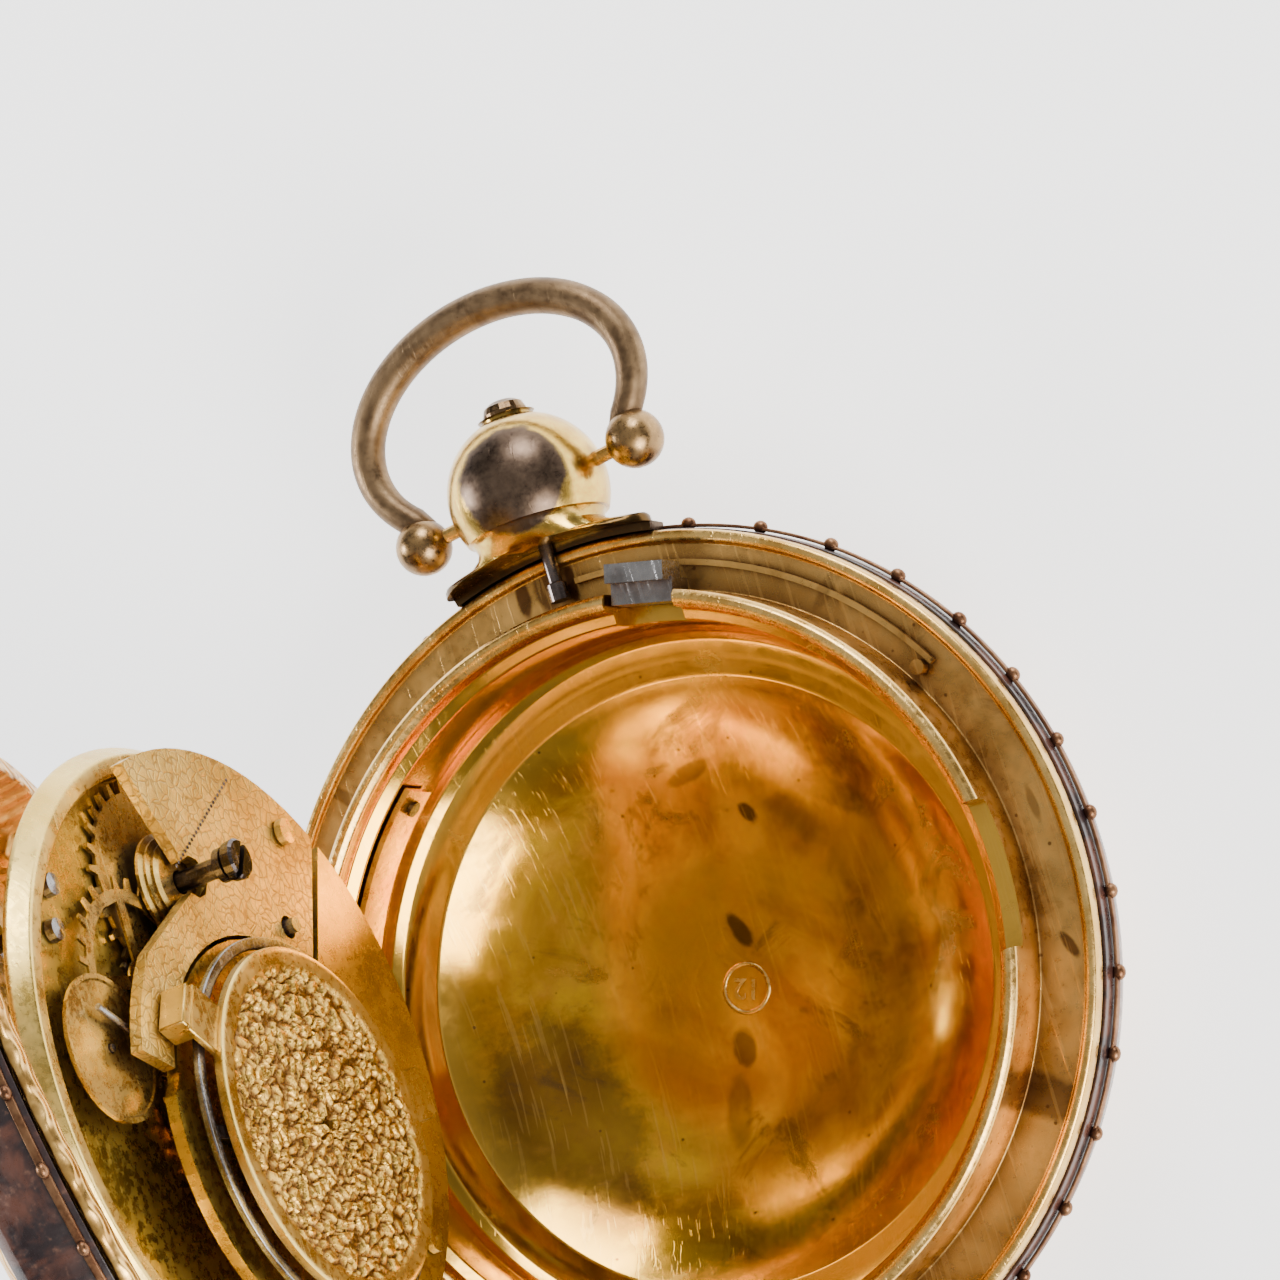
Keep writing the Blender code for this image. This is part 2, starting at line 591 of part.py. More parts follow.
THIRD_CENTRE = geared((0.0, 0.0), THIRD_ANGLE, CENTRE_TEETH, PINION)
CONTRATE_CENTRE = geared(THIRD_CENTRE, CONTRATE_ANGLE, THIRD_TEETH, PINION)
FUSEE_ANGLE = math.atan2(-WINDING_CENTRE[1], -WINDING_CENTRE[0])
CENTRE_PINION_PHASE = mesh_phase(0.0, FUSEE_TEETH, CENTRE_PINION, FUSEE_ANGLE)
THIRD_PHASE = mesh_phase(0.0, CENTRE_TEETH, PINION, THIRD_ANGLE)
CONTRATE_PHASE = mesh_phase(0.0, THIRD_TEETH, PINION, CONTRATE_ANGLE)


def build_plates():
    profile = [(0.0, PLATE_FRONT), (PLATE_RADIUS, PLATE_FRONT), (19.5, -0.8), (18.8, PLATE_BACK), (0.0, PLATE_BACK)]
    plate = turned("pillar_plate", profile, MOVEMENT, shade=PALE_GILT)
    boolean(plate, cylinder("train_pocket", 17.7, -3.0, POCKET_FLOOR, MOVEMENT, (0.0, 0.0, 0.0),
                            steps=56, group=CUTTERS))
    holes = ((0.0, 0.0, 0.75), (*THIRD_CENTRE, 0.45), (*CONTRATE_CENTRE, 0.45), (*WINDING_CENTRE, 0.9))
    for number, (x, y, radius) in enumerate(holes):
        boolean(plate, cylinder(f"plate_hole_{number}", radius, -3.0, 1.0, MOVEMENT, (x, y, 0.0),
                                steps=16, group=CUTTERS))


def around_balance(radius, start, stop, sides):
    return circle(radius, BALANCE_CENTRE, sides, math.radians(start), math.radians(stop), True)


def build_top_plates():
    """The engraved bridge above the winding arbor and the plain plate beside it."""
    wx, wy = WINDING_CENTRE
    bridge = circle(TOP_RADIUS, sides=16, start=math.radians(71.0), stop=math.radians(134.0), ends=True)
    bridge += around_balance(11.7, 127.0, 20.0, 18)
    bridge += around_balance(14.8, 20.0, 46.0, 6)
    bridge += [(wx + 1.9, wy - 1.5)]
    bridge += circle(1.25, WINDING_CENTRE, 8, math.radians(-50), math.radians(-310), True)
    prism("barrel_bridge", [bridge, circle(0.7, BARREL_CENTRE, 14)], TOP_LOW, TOP_HIGH, MOVEMENT, shade=PALE_GILT)
    outer = circle(TOP_RADIUS, sides=34, start=math.radians(136.0), stop=math.radians(294.0), ends=True)
    inner = around_balance(12.0, -52.0, 12.0, 10)
    inner += around_balance(11.45, 17.0, 129.5, 16)
    bx, by = BALANCE_CENTRE
    slot = block_outline(CROWN_PLACE, (1.5, 2.3), CROWN_TURN)
    prism("top_plate", [outer + inner, circle(0.6, (bx, by), 12), circle(0.8, (0.0, 0.0), 14), slot],
          TOP_LOW, TOP_HIGH, MOVEMENT, shade=DARK_GILT)


def block_outline(centre, size, turn):
    corners = []
    for x, y in ((-1, -1), (1, -1), (1, 1), (-1, 1)):
        local = Vector((x * size[0] / 2, y * size[1] / 2))
        corners.append((centre[0] + local.x * math.cos(turn) - local.y * math.sin(turn),
                        centre[1] + local.x * math.sin(turn) + local.y * math.cos(turn)))
    return corners


def build_pillars():
    spots = {"pillar_north": (-9.3, 13.5), "pillar_west": (-16.4, 1.5), "pillar_south": (-5.0, -15.7)}
    for name, (x, y) in spots.items():
        profile = [(0.0, -1.15), (0.95, -1.15), (0.95, -1.45), (0.55, -1.75), (0.55, -2.45), (0.95, -2.75),
                   (0.95, -3.05), (0.0, -3.05)]
        turned(name, profile, MOVEMENT, (x, y, 0.0), GILT, 14)
    heads = {"bridge_screw": (-9.3, 13.5), "plate_screw": (-12.7, -10.8)}
    for name, (x, y) in heads.items():
        profile = [(0.0, -4.1), (0.8, -4.1), (0.75, -4.5), (0.0, -4.6)]
        turned(name, profile, MOVEMENT, (x, y, 0.0), PALE_GILT, 14)
    for name, (x, y) in {"edge_screw": (12.7, 11.1), "edge_screw_low": (13.5, 8.5)}.items():
        turned(name, [(0.0, -1.1), (0.7, -1.1), (0.65, -1.6), (0.0, -1.7)], MOVEMENT, (x, y, 0.0), STEEL, 14)


def build_winding():
    """The fusee with its winding arbor, the barrel and the chain between them."""
    arbor = [(0.0, -0.55), (0.6, -0.55), (0.6, -5.7), (1.0, -5.75), (1.0, -6.2), (0.7, -6.25), (0.7, -6.4),
             (1.15, -6.45), (1.2, -7.0), (1.05, -7.15), (0.0, -7.15)]
    post = turned("winding_arbor", arbor, MOVEMENT, (*WINDING_CENTRE, 0.0), DARK_STEEL, 20)
    boolean(post, block("winding_slot", (0.4, 3.2, 0.8), MOVEMENT, (*WINDING_CENTRE, -7.2),
                        turn=(0.0, 0.0, math.radians(35)), group=CUTTERS))
    wheel("fusee_wheel", FUSEE_TEETH, -1.4, -1.15, WINDING_CENTRE, GILT, 0.0, bore=0.72)
    cone = [(0.72, -2.1), (3.1, -2.1), (3.1, -2.3), (2.8, -2.45), (2.8, -2.6), (2.4, -2.7), (2.4, -2.85),
            (2.1, -3.0), (0.72, -3.0)]
    turned("fusee", cone, MOVEMENT, (*WINDING_CENTRE, 0.0), GILT, 28, closed=True)
    drum = [(0.6, -1.8), (4.4, -1.8), (4.4, -2.0), (4.2, -2.05), (4.2, -2.75), (4.4, -2.8), (4.4, -3.0), (0.6, -3.0)]
    turned("mainspring_barrel", drum, MOVEMENT, (*BARREL_CENTRE, 0.0), GILT, 32, closed=True)
    cylinder("barrel_arbor", 0.45, -4.5, -1.1, MOVEMENT, (*BARREL_CENTRE, 0.0), steps=12)


def build_train():
    wheel("centre_pinion", CENTRE_PINION, -1.35, -1.15, (0.0, 0.0), STEEL, CENTRE_PINION_PHASE,
          arbor=(0.38, -3.05, 1.0))
    wheel("centre_wheel", CENTRE_TEETH, -1.65, -1.5, (0.0, 0.0), GILT, 0.0, arms=4, bore=0.45)
    wheel("third_pinion", PINION, -1.65, -1.4, THIRD_CENTRE, STEEL, THIRD_PHASE, arbor=(0.22, -3.0, -0.6))
    wheel("third_wheel", THIRD_TEETH, -1.95, -1.8, THIRD_CENTRE, GILT, 0.0, arms=4, bore=0.3)
    wheel("contrate_pinion", PINION, -1.97, -1.75, CONTRATE_CENTRE, STEEL, CONTRATE_PHASE,
          arbor=(0.22, -2.45, -0.6))
    contrate = [(0.3, -2.12), (4.3, -2.12), (4.3, -2.37), (4.0, -2.37), (3.9, -2.27), (0.3, -2.27)]
    turned("contrate_wheel", contrate, MOVEMENT, (*CONTRATE_CENTRE, 0.0), GILT, 36, closed=True)


def build_escapement():
    turn = (0.0, math.radians(90), CROWN_TURN)
    profile = [(0.0, CROWN_REACH), (0.2, CROWN_REACH), (0.2, 1.4), (0.28, 1.4), (0.28, 0.9), (0.2, 0.9),
               (0.2, 0.35), (0.85, 0.3), (0.85, -0.35), (0.7, -0.35), (0.7, 0.1), (0.0, 0.1)]
    turned("crown_wheel", profile, MOVEMENT, (*CROWN_PLACE, -2.8), STEEL, 18, turn=turn)
    rim = circle(BALANCE_RADIUS, sides=64)
    prism("balance_wheel", [rim] + spoke_holes(3, 1.2, BALANCE_RADIUS - 0.7, 0.7, sides=16) + [circle(0.42, sides=12)],
          -5.2, -4.75, MOVEMENT, (*BALANCE_CENTRE, 0.0), STEEL)
    cylinder("balance_staff", 0.3, -5.5, -2.1, MOVEMENT, (*BALANCE_CENTRE, 0.0), steps=10)
    spiral = []
    for step in range(54):
        angle = 2 * math.pi * step / 15
        radius = 1.0 + 3.2 * step / 53
        spiral.append((radius * math.cos(angle), radius * math.sin(angle), -4.4))
    wire("hairspring", spiral, 0.08, MOVEMENT, (*BALANCE_CENTRE, 0.0), BLUED, resolution=0)


def build_cock():
    """The pierced table over the balance, with a foot at each side."""
    outlines = [circle(COCK_RADIUS, sides=56), circle(0.42, sides=12)]
    for ring, count, size in ((8.0, 12, 0.75), (5.2, 7, 0.8), (2.6, 4, 0.6)):
        for index in range(count):
            angle = 2 * math.pi * index / count + 0.11 * ring
            centre = (ring * math.cos(angle), ring * math.sin(angle))
            outlines.append(circle(size, centre, 6, angle, angle + 2 * math.pi))
    table = prism("balance_cock", outlines, COCK_LOW, COCK_HIGH, MOVEMENT, (*BALANCE_CENTRE, 0.0), PALE_GILT)
    bx, by = BALANCE_CENTRE
    for name, angle in (("east", math.radians(33)), ("west", math.radians(172))):
        reach = BALANCE_RADIUS + 1.6
        middle = (COCK_RADIUS + reach) / 2
        arm = block(f"cock_arm_{name}", (reach - COCK_RADIUS + 2.0, 3.2, 0.48), MOVEMENT,
                    (bx + middle * math.cos(angle), by + middle * math.sin(angle), COCK_HIGH),
                    turn=(0.0, 0.0, angle), group=CUTTERS)
        boolean(table, arm, "UNION")
        leg = block(f"cock_leg_{name}", (1.7, 2.8, TOP_LOW - 0.02 - COCK_HIGH), MOVEMENT,
                    (bx + (reach - 0.35) * math.cos(angle), by + (reach - 0.35) * math.sin(angle),
                     (TOP_LOW - 0.22 + COCK_HIGH) / 2), turn=(0.0, 0.0, angle), group=CUTTERS)
        boolean(table, leg, "UNION")


def hand_outline(length, width, tail):
    """A spade hand pointing along +Y, around its boss."""
    boss = circle(1.25, sides=12, start=math.radians(-60), stop=math.radians(60), ends=True)
    blade = [(width, 1.6), (width * 0.7, length * 0.62), (width * 2.4, length * 0.72), (0.0, length)]
    tail_points = [(-width, -tail), (width, -tail)]
    mirrored = [(-x, y) for x, y in reversed(blade[:-1])]
    return tail_points + boss + blade + mirrored + [(-x, y) for x, y in reversed(boss)]


def build_dial_side():
    face = [(1.3, 1.2), (8.0, 1.3), (16.6, 1.1), (16.6, 0.7), (8.0, 0.9), (1.3, 0.8)]
    turned("dial", list(reversed([face[5], face[4], face[3], face[2], face[1], face[0]])), MOVEMENT,
           shade=ENAMEL, steps=40, closed=True)
    tube = [(0.5, 2.75), (0.72, 2.75), (0.72, 0.15), (1.0, 0.15), (1.0, -0.3), (0.5, -0.3)]
    turned("cannon_pinion", tube, MOVEMENT, shade=STEEL, steps=14, closed=True)
    pipe = [(0.82, 1.9), (1.1, 1.9), (1.1, 0.6), (3.0, 0.6), (3.0, 0.35), (0.82, 0.35)]
    turned("hour_wheel", pipe, MOVEMENT, shade=GILT, steps=20, closed=True)
    prism("hour_hand", [hand_outline(9.0, 0.35, 1.3), circle(0.88, sides=16)], 1.95, 2.15, MOVEMENT, shade=BLUED)
    prism("minute_hand", [hand_outline(13.6, 0.3, 2.2), circle(0.55, sides=12)], 2.85, 3.05, MOVEMENT, shade=BLUED)


def main():
    build_case_body()
    build_back()
    stud_band("back_studs", CASE, -2.3,
              lambda angle: near(angle, math.pi / 2, 0.27) or near(angle, math.pi + LID_HINGE_TURN, 0.2))
    build_pendant()
    build_button()
    build_bow()
    build_catch()
    build_fly_spring()
    build_hinges()
    build_lid()
    build_plates()
    build_top_plates()
    build_pillars()
    build_winding()
    build_train()
    build_escapement()
    build_cock()
    build_dial_side()


main()
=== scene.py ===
import json
import math

import bmesh
import bpy
from mathutils import Matrix, Vector, noise

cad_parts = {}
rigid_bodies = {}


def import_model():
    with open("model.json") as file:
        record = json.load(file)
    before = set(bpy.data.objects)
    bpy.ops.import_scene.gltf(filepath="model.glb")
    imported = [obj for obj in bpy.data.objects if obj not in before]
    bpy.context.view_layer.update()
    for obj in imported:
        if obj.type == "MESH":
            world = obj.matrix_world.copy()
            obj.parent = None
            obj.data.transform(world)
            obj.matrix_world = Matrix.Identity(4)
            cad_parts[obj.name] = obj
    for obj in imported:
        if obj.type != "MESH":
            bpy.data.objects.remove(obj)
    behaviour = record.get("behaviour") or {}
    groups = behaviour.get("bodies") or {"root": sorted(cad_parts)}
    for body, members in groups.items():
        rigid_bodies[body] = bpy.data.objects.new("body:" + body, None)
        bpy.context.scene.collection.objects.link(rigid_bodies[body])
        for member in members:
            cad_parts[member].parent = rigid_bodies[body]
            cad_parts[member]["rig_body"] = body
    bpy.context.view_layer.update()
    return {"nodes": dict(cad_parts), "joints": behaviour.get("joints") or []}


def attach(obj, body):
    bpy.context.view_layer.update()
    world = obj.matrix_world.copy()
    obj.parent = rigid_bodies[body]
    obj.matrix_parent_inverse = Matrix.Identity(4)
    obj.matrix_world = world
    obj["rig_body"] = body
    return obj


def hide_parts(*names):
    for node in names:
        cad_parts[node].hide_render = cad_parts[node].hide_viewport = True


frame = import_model()
noise.seed_set(7)    # noise_vector would otherwise differ from run to run

# Lengths are in millimetres in the shut position, heights above the rim plane.
MM = 0.001
RIM = 0.011
STEPS = 192
BALANCE = (-1.4, -4.3)
BAND_RADIUS = 26.4
STUDS = 36
JOINTS = {joint["name"]: joint for joint in frame["joints"]}


def shut_frame(name, angle):
    """From the shut position to where the body lies when open."""
    pivot = Vector(JOINTS[name]["pos_m"])
    turn = Matrix.Rotation(-math.radians(angle), 4, Vector(JOINTS[name]["axis"]))
    return Matrix.Translation(pivot) @ turn @ Matrix.Translation(-pivot) @ Matrix.Translation((0.0, 0.0, RIM))


CASE = Matrix.Translation((0.0, 0.0, RIM))
MOVEMENT = shut_frame("movement_hinge", 91.6)
LID = shut_frame("lid_hinge", 75.5)


# ---------------------------------------------------------------- material nodes

class Graph:
    def __init__(self, name):
        self.material = bpy.data.materials.new(name)
        self.material["finish"] = name
        self.material.use_nodes = True
        self.tree = self.material.node_tree
        self.shader = self.tree.nodes["Principled BSDF"]
        place = self.add("ShaderNodeAttribute")
        place.attribute_name = "shut_place"
        self.coord = place.outputs["Vector"]

    def add(self, kind):
        return self.tree.nodes.new(kind)

    def put(self, socket, value):
        if isinstance(value, bpy.types.NodeSocket):
            self.tree.links.new(value, socket)
        else:
            socket.default_value = value

    def noise(self, scale, detail=5.0, rough=0.6, vector=None, warp=0.0):
        node = self.add("ShaderNodeTexNoise")
        self.put(node.inputs["Vector"], vector or self.coord)
        node.inputs["Scale"].default_value = scale
        node.inputs["Detail"].default_value = detail
        node.inputs["Roughness"].default_value = rough
        node.inputs["Distortion"].default_value = warp
        return node.outputs["Fac"]

    def cells(self, scale, feature="F1", vector=None):
        node = self.add("ShaderNodeTexVoronoi")
        node.feature = feature
        self.put(node.inputs["Vector"], vector or self.coord)
        node.inputs["Scale"].default_value = scale
        return node.outputs["Distance"]

    def mapped(self, scale=(1.0, 1.0, 1.0), turn=(0.0, 0.0, 0.0), shift=(0.0, 0.0, 0.0)):
        node = self.add("ShaderNodeMapping")
        self.put(node.inputs["Vector"], self.coord)
        node.inputs["Scale"].default_value = scale
        node.inputs["Rotation"].default_value = [math.radians(value) for value in turn]
        node.inputs["Location"].default_value = shift
        return node.outputs["Vector"]

    def math(self, operation, first, second=0.0):
        node = self.add("ShaderNodeMath")
        node.operation = operation
        self.put(node.inputs[0], first)
        self.put(node.inputs[1], second)
        return node.outputs[0]

    def span(self, value, low, high, to_low=0.0, to_high=1.0):
        node = self.add("ShaderNodeMapRange")
        node.interpolation_type = "SMOOTHSTEP"
        self.put(node.inputs["Value"], value)
        self.put(node.inputs["From Min"], low)
        self.put(node.inputs["From Max"], high)
        self.put(node.inputs["To Min"], to_low)
        self.put(node.inputs["To Max"], to_high)
        return node.outputs["Result"]

    def mix(self, share, first, second, blend="MIX"):
        node = self.add("ShaderNodeMix")
        node.data_type = "RGBA"
        node.blend_type = blend
        self.put(node.inputs[0], share)
        self.put(node.inputs[6], first if isinstance(first, bpy.types.NodeSocket) else (*first, 1.0))
        self.put(node.inputs[7], second if isinstance(second, bpy.types.NodeSocket) else (*second, 1.0))
        return node.outputs[2]

    def bump(self, height, depth, below=None, strength=1.0):
        node = self.add("ShaderNodeBump")
        node.inputs["Strength"].default_value = strength
        node.inputs["Distance"].default_value = depth * MM
        self.put(node.inputs["Height"], height)
        if below is not None:
            self.put(node.inputs["Normal"], below)
        return node.outputs["Normal"]

    def split(self, vector=None):
        node = self.add("ShaderNodeSeparateXYZ")
        self.put(node.inputs[0], vector or self.coord)
        return node.outputs[0], node.outputs[1], node.outputs[2]

    def along_line(self, value):
        node = self.add("ShaderNodeCombineXYZ")
        self.put(node.inputs[0], value)
        return node.outputs[0]

    def radius(self):
        x, y, _ = self.split()
        total = self.math("ADD", self.math("MULTIPLY", x, x), self.math("MULTIPLY", y, y))
        return self.math("SQRT", total)

    def dark_tone(self, tone, wobble, mark, shade):
        """A soft-edged oval mark in a darker tone: centre, half sizes, turn in degrees and depth."""
        x, y, across, along, turn, depth = mark
        angle = math.radians(turn)
        px, py, _ = self.split()
        px = self.math("SUBTRACT", px, x * MM)
        py = self.math("SUBTRACT", py, y * MM)
        ax = self.math("ADD", self.math("MULTIPLY", px, math.cos(angle)), self.math("MULTIPLY", py, math.sin(angle)))
        ay = self.math("SUBTRACT", self.math("MULTIPLY", py, math.cos(angle)), self.math("MULTIPLY", px, math.sin(angle)))
        ax = self.math("DIVIDE", ax, across * MM)
        ay = self.math("DIVIDE", ay, along * MM)
        reach = self.math("SQRT", self.math("ADD", self.math("MULTIPLY", ax, ax), self.math("MULTIPLY", ay, ay)))
        reach = self.math("ADD", reach, self.math("MULTIPLY", self.math("SUBTRACT", wobble, 0.5), 1.3))
        return self.mix(self.span(reach, 0.7, 1.2, depth, 0.0), tone, shade)

    def painted_shade_in_hollows(self, reach, amount):
        """Painted shade: more where neighbouring surfaces crowd in and shade would fall."""
        node = self.add("ShaderNodeAmbientOcclusion")
        node.samples = 2
        node.inputs["Distance"].default_value = reach * MM
        return self.span(node.outputs["AO"], 0.35, 0.95, amount, 0.0)

    def scratches(self, scale, turn, thin=0.635):
        lines = self.noise(scale, 2.0, 0.5, self.mapped((1.0, 0.035, 0.3), turn))
        return self.span(lines, thin, thin + 0.02)

    def close(self, colour, rough, normal=None, metallic=1.0):
        self.put(self.shader.inputs["Base Color"], colour)
        self.put(self.shader.inputs["Roughness"], rough)
        self.put(self.shader.inputs["Metallic"], metallic)
        if normal is not None:
            self.put(self.shader.inputs["Normal"], normal)
        return self.material


def metal(name, light, deep, dark_tone, rough=(0.2, 0.42), mottle=260.0, stains=0.5, hollow_shade_amount=0.6, scratch=0.5,
          wave=0.0, spun=0.0, grain=0.004, marks=()):
    """Worn metal: mottled tone, dark stains, painted shade in recesses, scratches and a soft grain."""
    g = Graph(name)
    broad = g.noise(mottle, 6.0, 0.62)
    small = g.noise(mottle * 8.0, 8.0, 0.7)
    tone = g.mix(g.span(broad, 0.34, 0.62), deep, light)
    tone = g.mix(g.span(small, 0.3, 0.75, 0.0, 0.4), tone, deep)
    patches = g.span(g.noise(mottle * 1.3, 9.0, 0.72, g.mapped(shift=(0.3, 0.1, 0.2)), 0.6), 0.54, 0.76, 0.0, stains)
    tone = g.mix(patches, tone, dark_tone)
    for mark in marks:
        tone = g.dark_tone(tone, broad, mark, dark_tone)
    # Painted shade: the colour goes darker in recesses where neighbouring surfaces crowd in; these places are also made
    # rougher.
    hollow_shade_mask = g.painted_shade_in_hollows(1.3, hollow_shade_amount)
    tone = g.mix(hollow_shade_mask, tone, dark_tone)
    specks = g.span(g.cells(mottle * 3.2), 0.05, 0.1, stains, 0.0)
    tone = g.mix(specks, tone, dark_tone)
    lines = g.math("ADD", g.scratches(2600.0, (0.0, 0.0, 24.0)), g.scratches(2100.0, (0.0, 0.0, -38.0)))
    lines = g.math("ADD", lines, g.scratches(1700.0, (0.0, 0.0, 85.0)))
    tone = g.mix(g.math("MULTIPLY", lines, 0.35 * scratch), tone, light)
    shine = g.span(g.math("ADD", small, g.math("MULTIPLY", broad, 0.5)), 0.55, 0.95, rough[0], rough[1])
    shine = g.math("ADD", shine, g.math("MULTIPLY", g.math("ADD", hollow_shade_mask, patches), 0.22))
    normal = g.bump(small, grain)
    normal = g.bump(lines, 0.006 * scratch, normal)
    if wave:
        normal = g.bump(g.noise(75.0, 2.0, 0.45, None, 0.4), wave, normal)
    if spun:
        rings = g.noise(5200.0, 2.0, 0.5, g.along_line(g.radius()))
        normal = g.bump(rings, spun, normal)
    return g.close(tone, shine, normal)


GOLD = (0.92, 0.55, 0.08)
DEEP_GOLD = (0.62, 0.25, 0.03)
BROWN = (0.07, 0.028, 0.012)


BOWL_MARKS = ((0.57, 3.1, 0.5, 1.35, 20.0, 0.85), (3.5, 9.3, 0.45, 0.75, 25.0, 0.9), (-1.3, -3.6, 0.7, 1.1, 0.0, 0.7),
              (-2.6, -6.9, 0.9, 2.2, -15.0, 0.45), (-12.6, -5.6, 4.2, 8.0, 8.0, 0.6), (1.2, 12.6, 1.6, 0.5, 10.0, 0.55),
              (9.5, 8.4, 3.4, 0.9, -40.0, 0.35))
LEDGE_MARKS = ((23.6, -5.8, 0.35, 0.9, 20.0, 0.85), (19.7, -13.6, 1.2, 4.5, 55.0, 0.7), (-2.6, 24.3, 0.45, 1.3, 0.0, 0.9),
               (-1.0, 24.2, 0.75, 1.2, 0.0, 0.75), (0.65, 24.0, 0.3, 1.3, 0.0, 0.9), (16.0, 18.4, 0.5, 1.6, -50.0, 0.4),
               (-17.0, 17.0, 0.4, 2.5, 45.0, 0.5), (24.0, 2.5, 0.3, 1.2, 5.0, 0.5))


def bowl_material():
    """The polished inside of the bowl: dented, stained and finely scratched."""
    g = Graph("bowl_gold")
    broad = g.noise(110.0, 6.0, 0.6, None, 0.5)
    middle = g.noise(420.0, 8.0, 0.7)
    small = g.noise(2400.0, 6.0, 0.7)
    tone = g.mix(g.span(broad, 0.36, 0.62), (0.50, 0.21, 0.012), (0.93, 0.49, 0.028))
    tone = g.mix(g.span(middle, 0.42, 0.72, 0.0, 0.55), tone, (0.66, 0.29, 0.04))
    cloud = g.span(g.noise(150.0, 7.0, 0.7, g.mapped(shift=(0.021, 0.4, 0.0)), 0.8), 0.53, 0.66, 0.0, 0.75)
    tone = g.mix(cloud, tone, (0.22, 0.11, 0.03))
    for mark in BOWL_MARKS:
        tone = g.dark_tone(tone, middle, mark, (0.085, 0.045, 0.02))
    far = g.radius()
    edge = g.span(far, 15.5 * MM, 18.0 * MM)
    tone = g.mix(g.math("MULTIPLY", edge, 0.75), tone, (0.84, 0.48, 0.07))
    specks = g.span(g.cells(520.0), 0.035, 0.07, 0.7, 0.0)
    tone = g.mix(specks, tone, (0.12, 0.05, 0.02))
    lines = g.math("ADD", g.scratches(3600.0, (0.0, 0.0, 62.0), 0.65), g.scratches(3100.0, (0.0, 0.0, 8.0), 0.65))
    lines = g.math("ADD", lines, g.scratches(2700.0, (0.0, 0.0, -55.0), 0.65))
    tone = g.mix(g.math("MULTIPLY", lines, 0.14), tone, (1.0, 0.60, 0.16))
    # Painted shade: darker brown in recesses where neighbouring surfaces crowd in.
    tone = g.mix(g.painted_shade_in_hollows(1.6, 0.55), tone, (0.30, 0.12, 0.02))
    shine = g.span(g.math("ADD", middle, g.math("MULTIPLY", cloud, 0.3)), 0.4, 0.95, 0.13, 0.34)
    normal = g.bump(small, 0.0022)
    normal = g.bump(lines, 0.0012, normal)
    normal = g.bump(g.noise(5200.0, 2.0, 0.5, g.along_line(far)), 0.0014, normal)
    normal = g.bump(g.noise(70.0, 2.0, 0.4, None, 0.4), 0.14, normal)
    normal = g.bump(g.noise(330.0, 2.0, 0.5), 0.008, normal)
    return g.close(tone, shine, normal)


def patched_gilt_material(name, centre, toward, limit):
    """Gilt with a dark taupe patch over the side facing one given way, painted shade at the foot and in recesses."""
    g = Graph(name)
    small = g.noise(2400.0, 8.0, 0.7)
    broad = g.noise(420.0, 6.0, 0.65)
    offset = g.add("ShaderNodeVectorMath")
    offset.operation = "SUBTRACT"
    g.put(offset.inputs[0], g.coord)
    offset.inputs[1].default_value = [value * MM for value in centre]
    unit = g.add("ShaderNodeVectorMath")
    unit.operation = "NORMALIZE"
    g.put(unit.inputs[0], offset.outputs[0])
    dot = g.add("ShaderNodeVectorMath")
    dot.operation = "DOT_PRODUCT"
    g.put(dot.inputs[0], unit.outputs[0])
    dot.inputs[1].default_value = toward
    facing = g.math("ADD", dot.outputs["Value"], g.math("MULTIPLY", g.math("SUBTRACT", broad, 0.5), 0.28))
    patch = g.span(facing, limit - 0.03, limit + 0.05)
    gold = g.mix(g.span(broad, 0.35, 0.65), (0.62, 0.38, 0.07), (0.90, 0.60, 0.14))
    taupe = g.mix(g.span(broad, 0.3, 0.7), (0.055, 0.036, 0.026), (0.15, 0.10, 0.07))
    taupe = g.mix(g.span(small, 0.35, 0.75, 0.0, 0.3), taupe, (0.24, 0.17, 0.11))
    tone = g.mix(patch, gold, taupe)
    # Painted shade: the colour goes near black towards the pendant's foot, where it meets the band.
    _, along, _ = g.split()
    foot = g.math("ADD", along, g.math("MULTIPLY", g.math("SUBTRACT", broad, 0.5), 0.0006))
    tone = g.mix(g.span(foot, 26.15 * MM, 26.4 * MM, 0.92, 0.0), tone, (0.045, 0.022, 0.012))
    # Painted shade: darker in recesses where neighbouring surfaces crowd in.
    tone = g.mix(g.painted_shade_in_hollows(1.2, 0.8), tone, (0.06, 0.03, 0.02))
    shine = g.math("ADD", g.span(small, 0.3, 0.7, 0.16, 0.28), g.math("MULTIPLY", patch, 0.10))
    normal = g.bump(small, 0.006)
    normal = g.bump(g.scratches(2200.0, (0.0, 0.0, 60.0)), 0.004, normal)
    return g.close(tone, shine, normal)


def shell_material():
    g = Graph("tortoiseshell")
    clouds = g.noise(190.0, 4.0, 0.55, None, 1.4)
    small = g.noise(1500.0, 6.0, 0.65)
    tone = g.mix(g.span(clouds, 0.42, 0.6), (0.016, 0.008, 0.009), (0.10, 0.036, 0.022))
    tone = g.mix(g.span(small, 0.55, 0.75, 0.0, 0.4), tone, (0.30, 0.14, 0.08))
    # Painted shade: darker in recesses where neighbouring surfaces crowd in.
    tone = g.mix(g.painted_shade_in_hollows(1.0, 0.6), tone, (0.02, 0.01, 0.01))
    shine = g.span(small, 0.3, 0.7, 0.22, 0.45)
    g.shader.inputs["Coat Weight"].default_value = 0.4
    g.shader.inputs["Coat Roughness"].default_value = 0.15
    return g.close(tone, shine, g.bump(small, 0.012), 0.0)


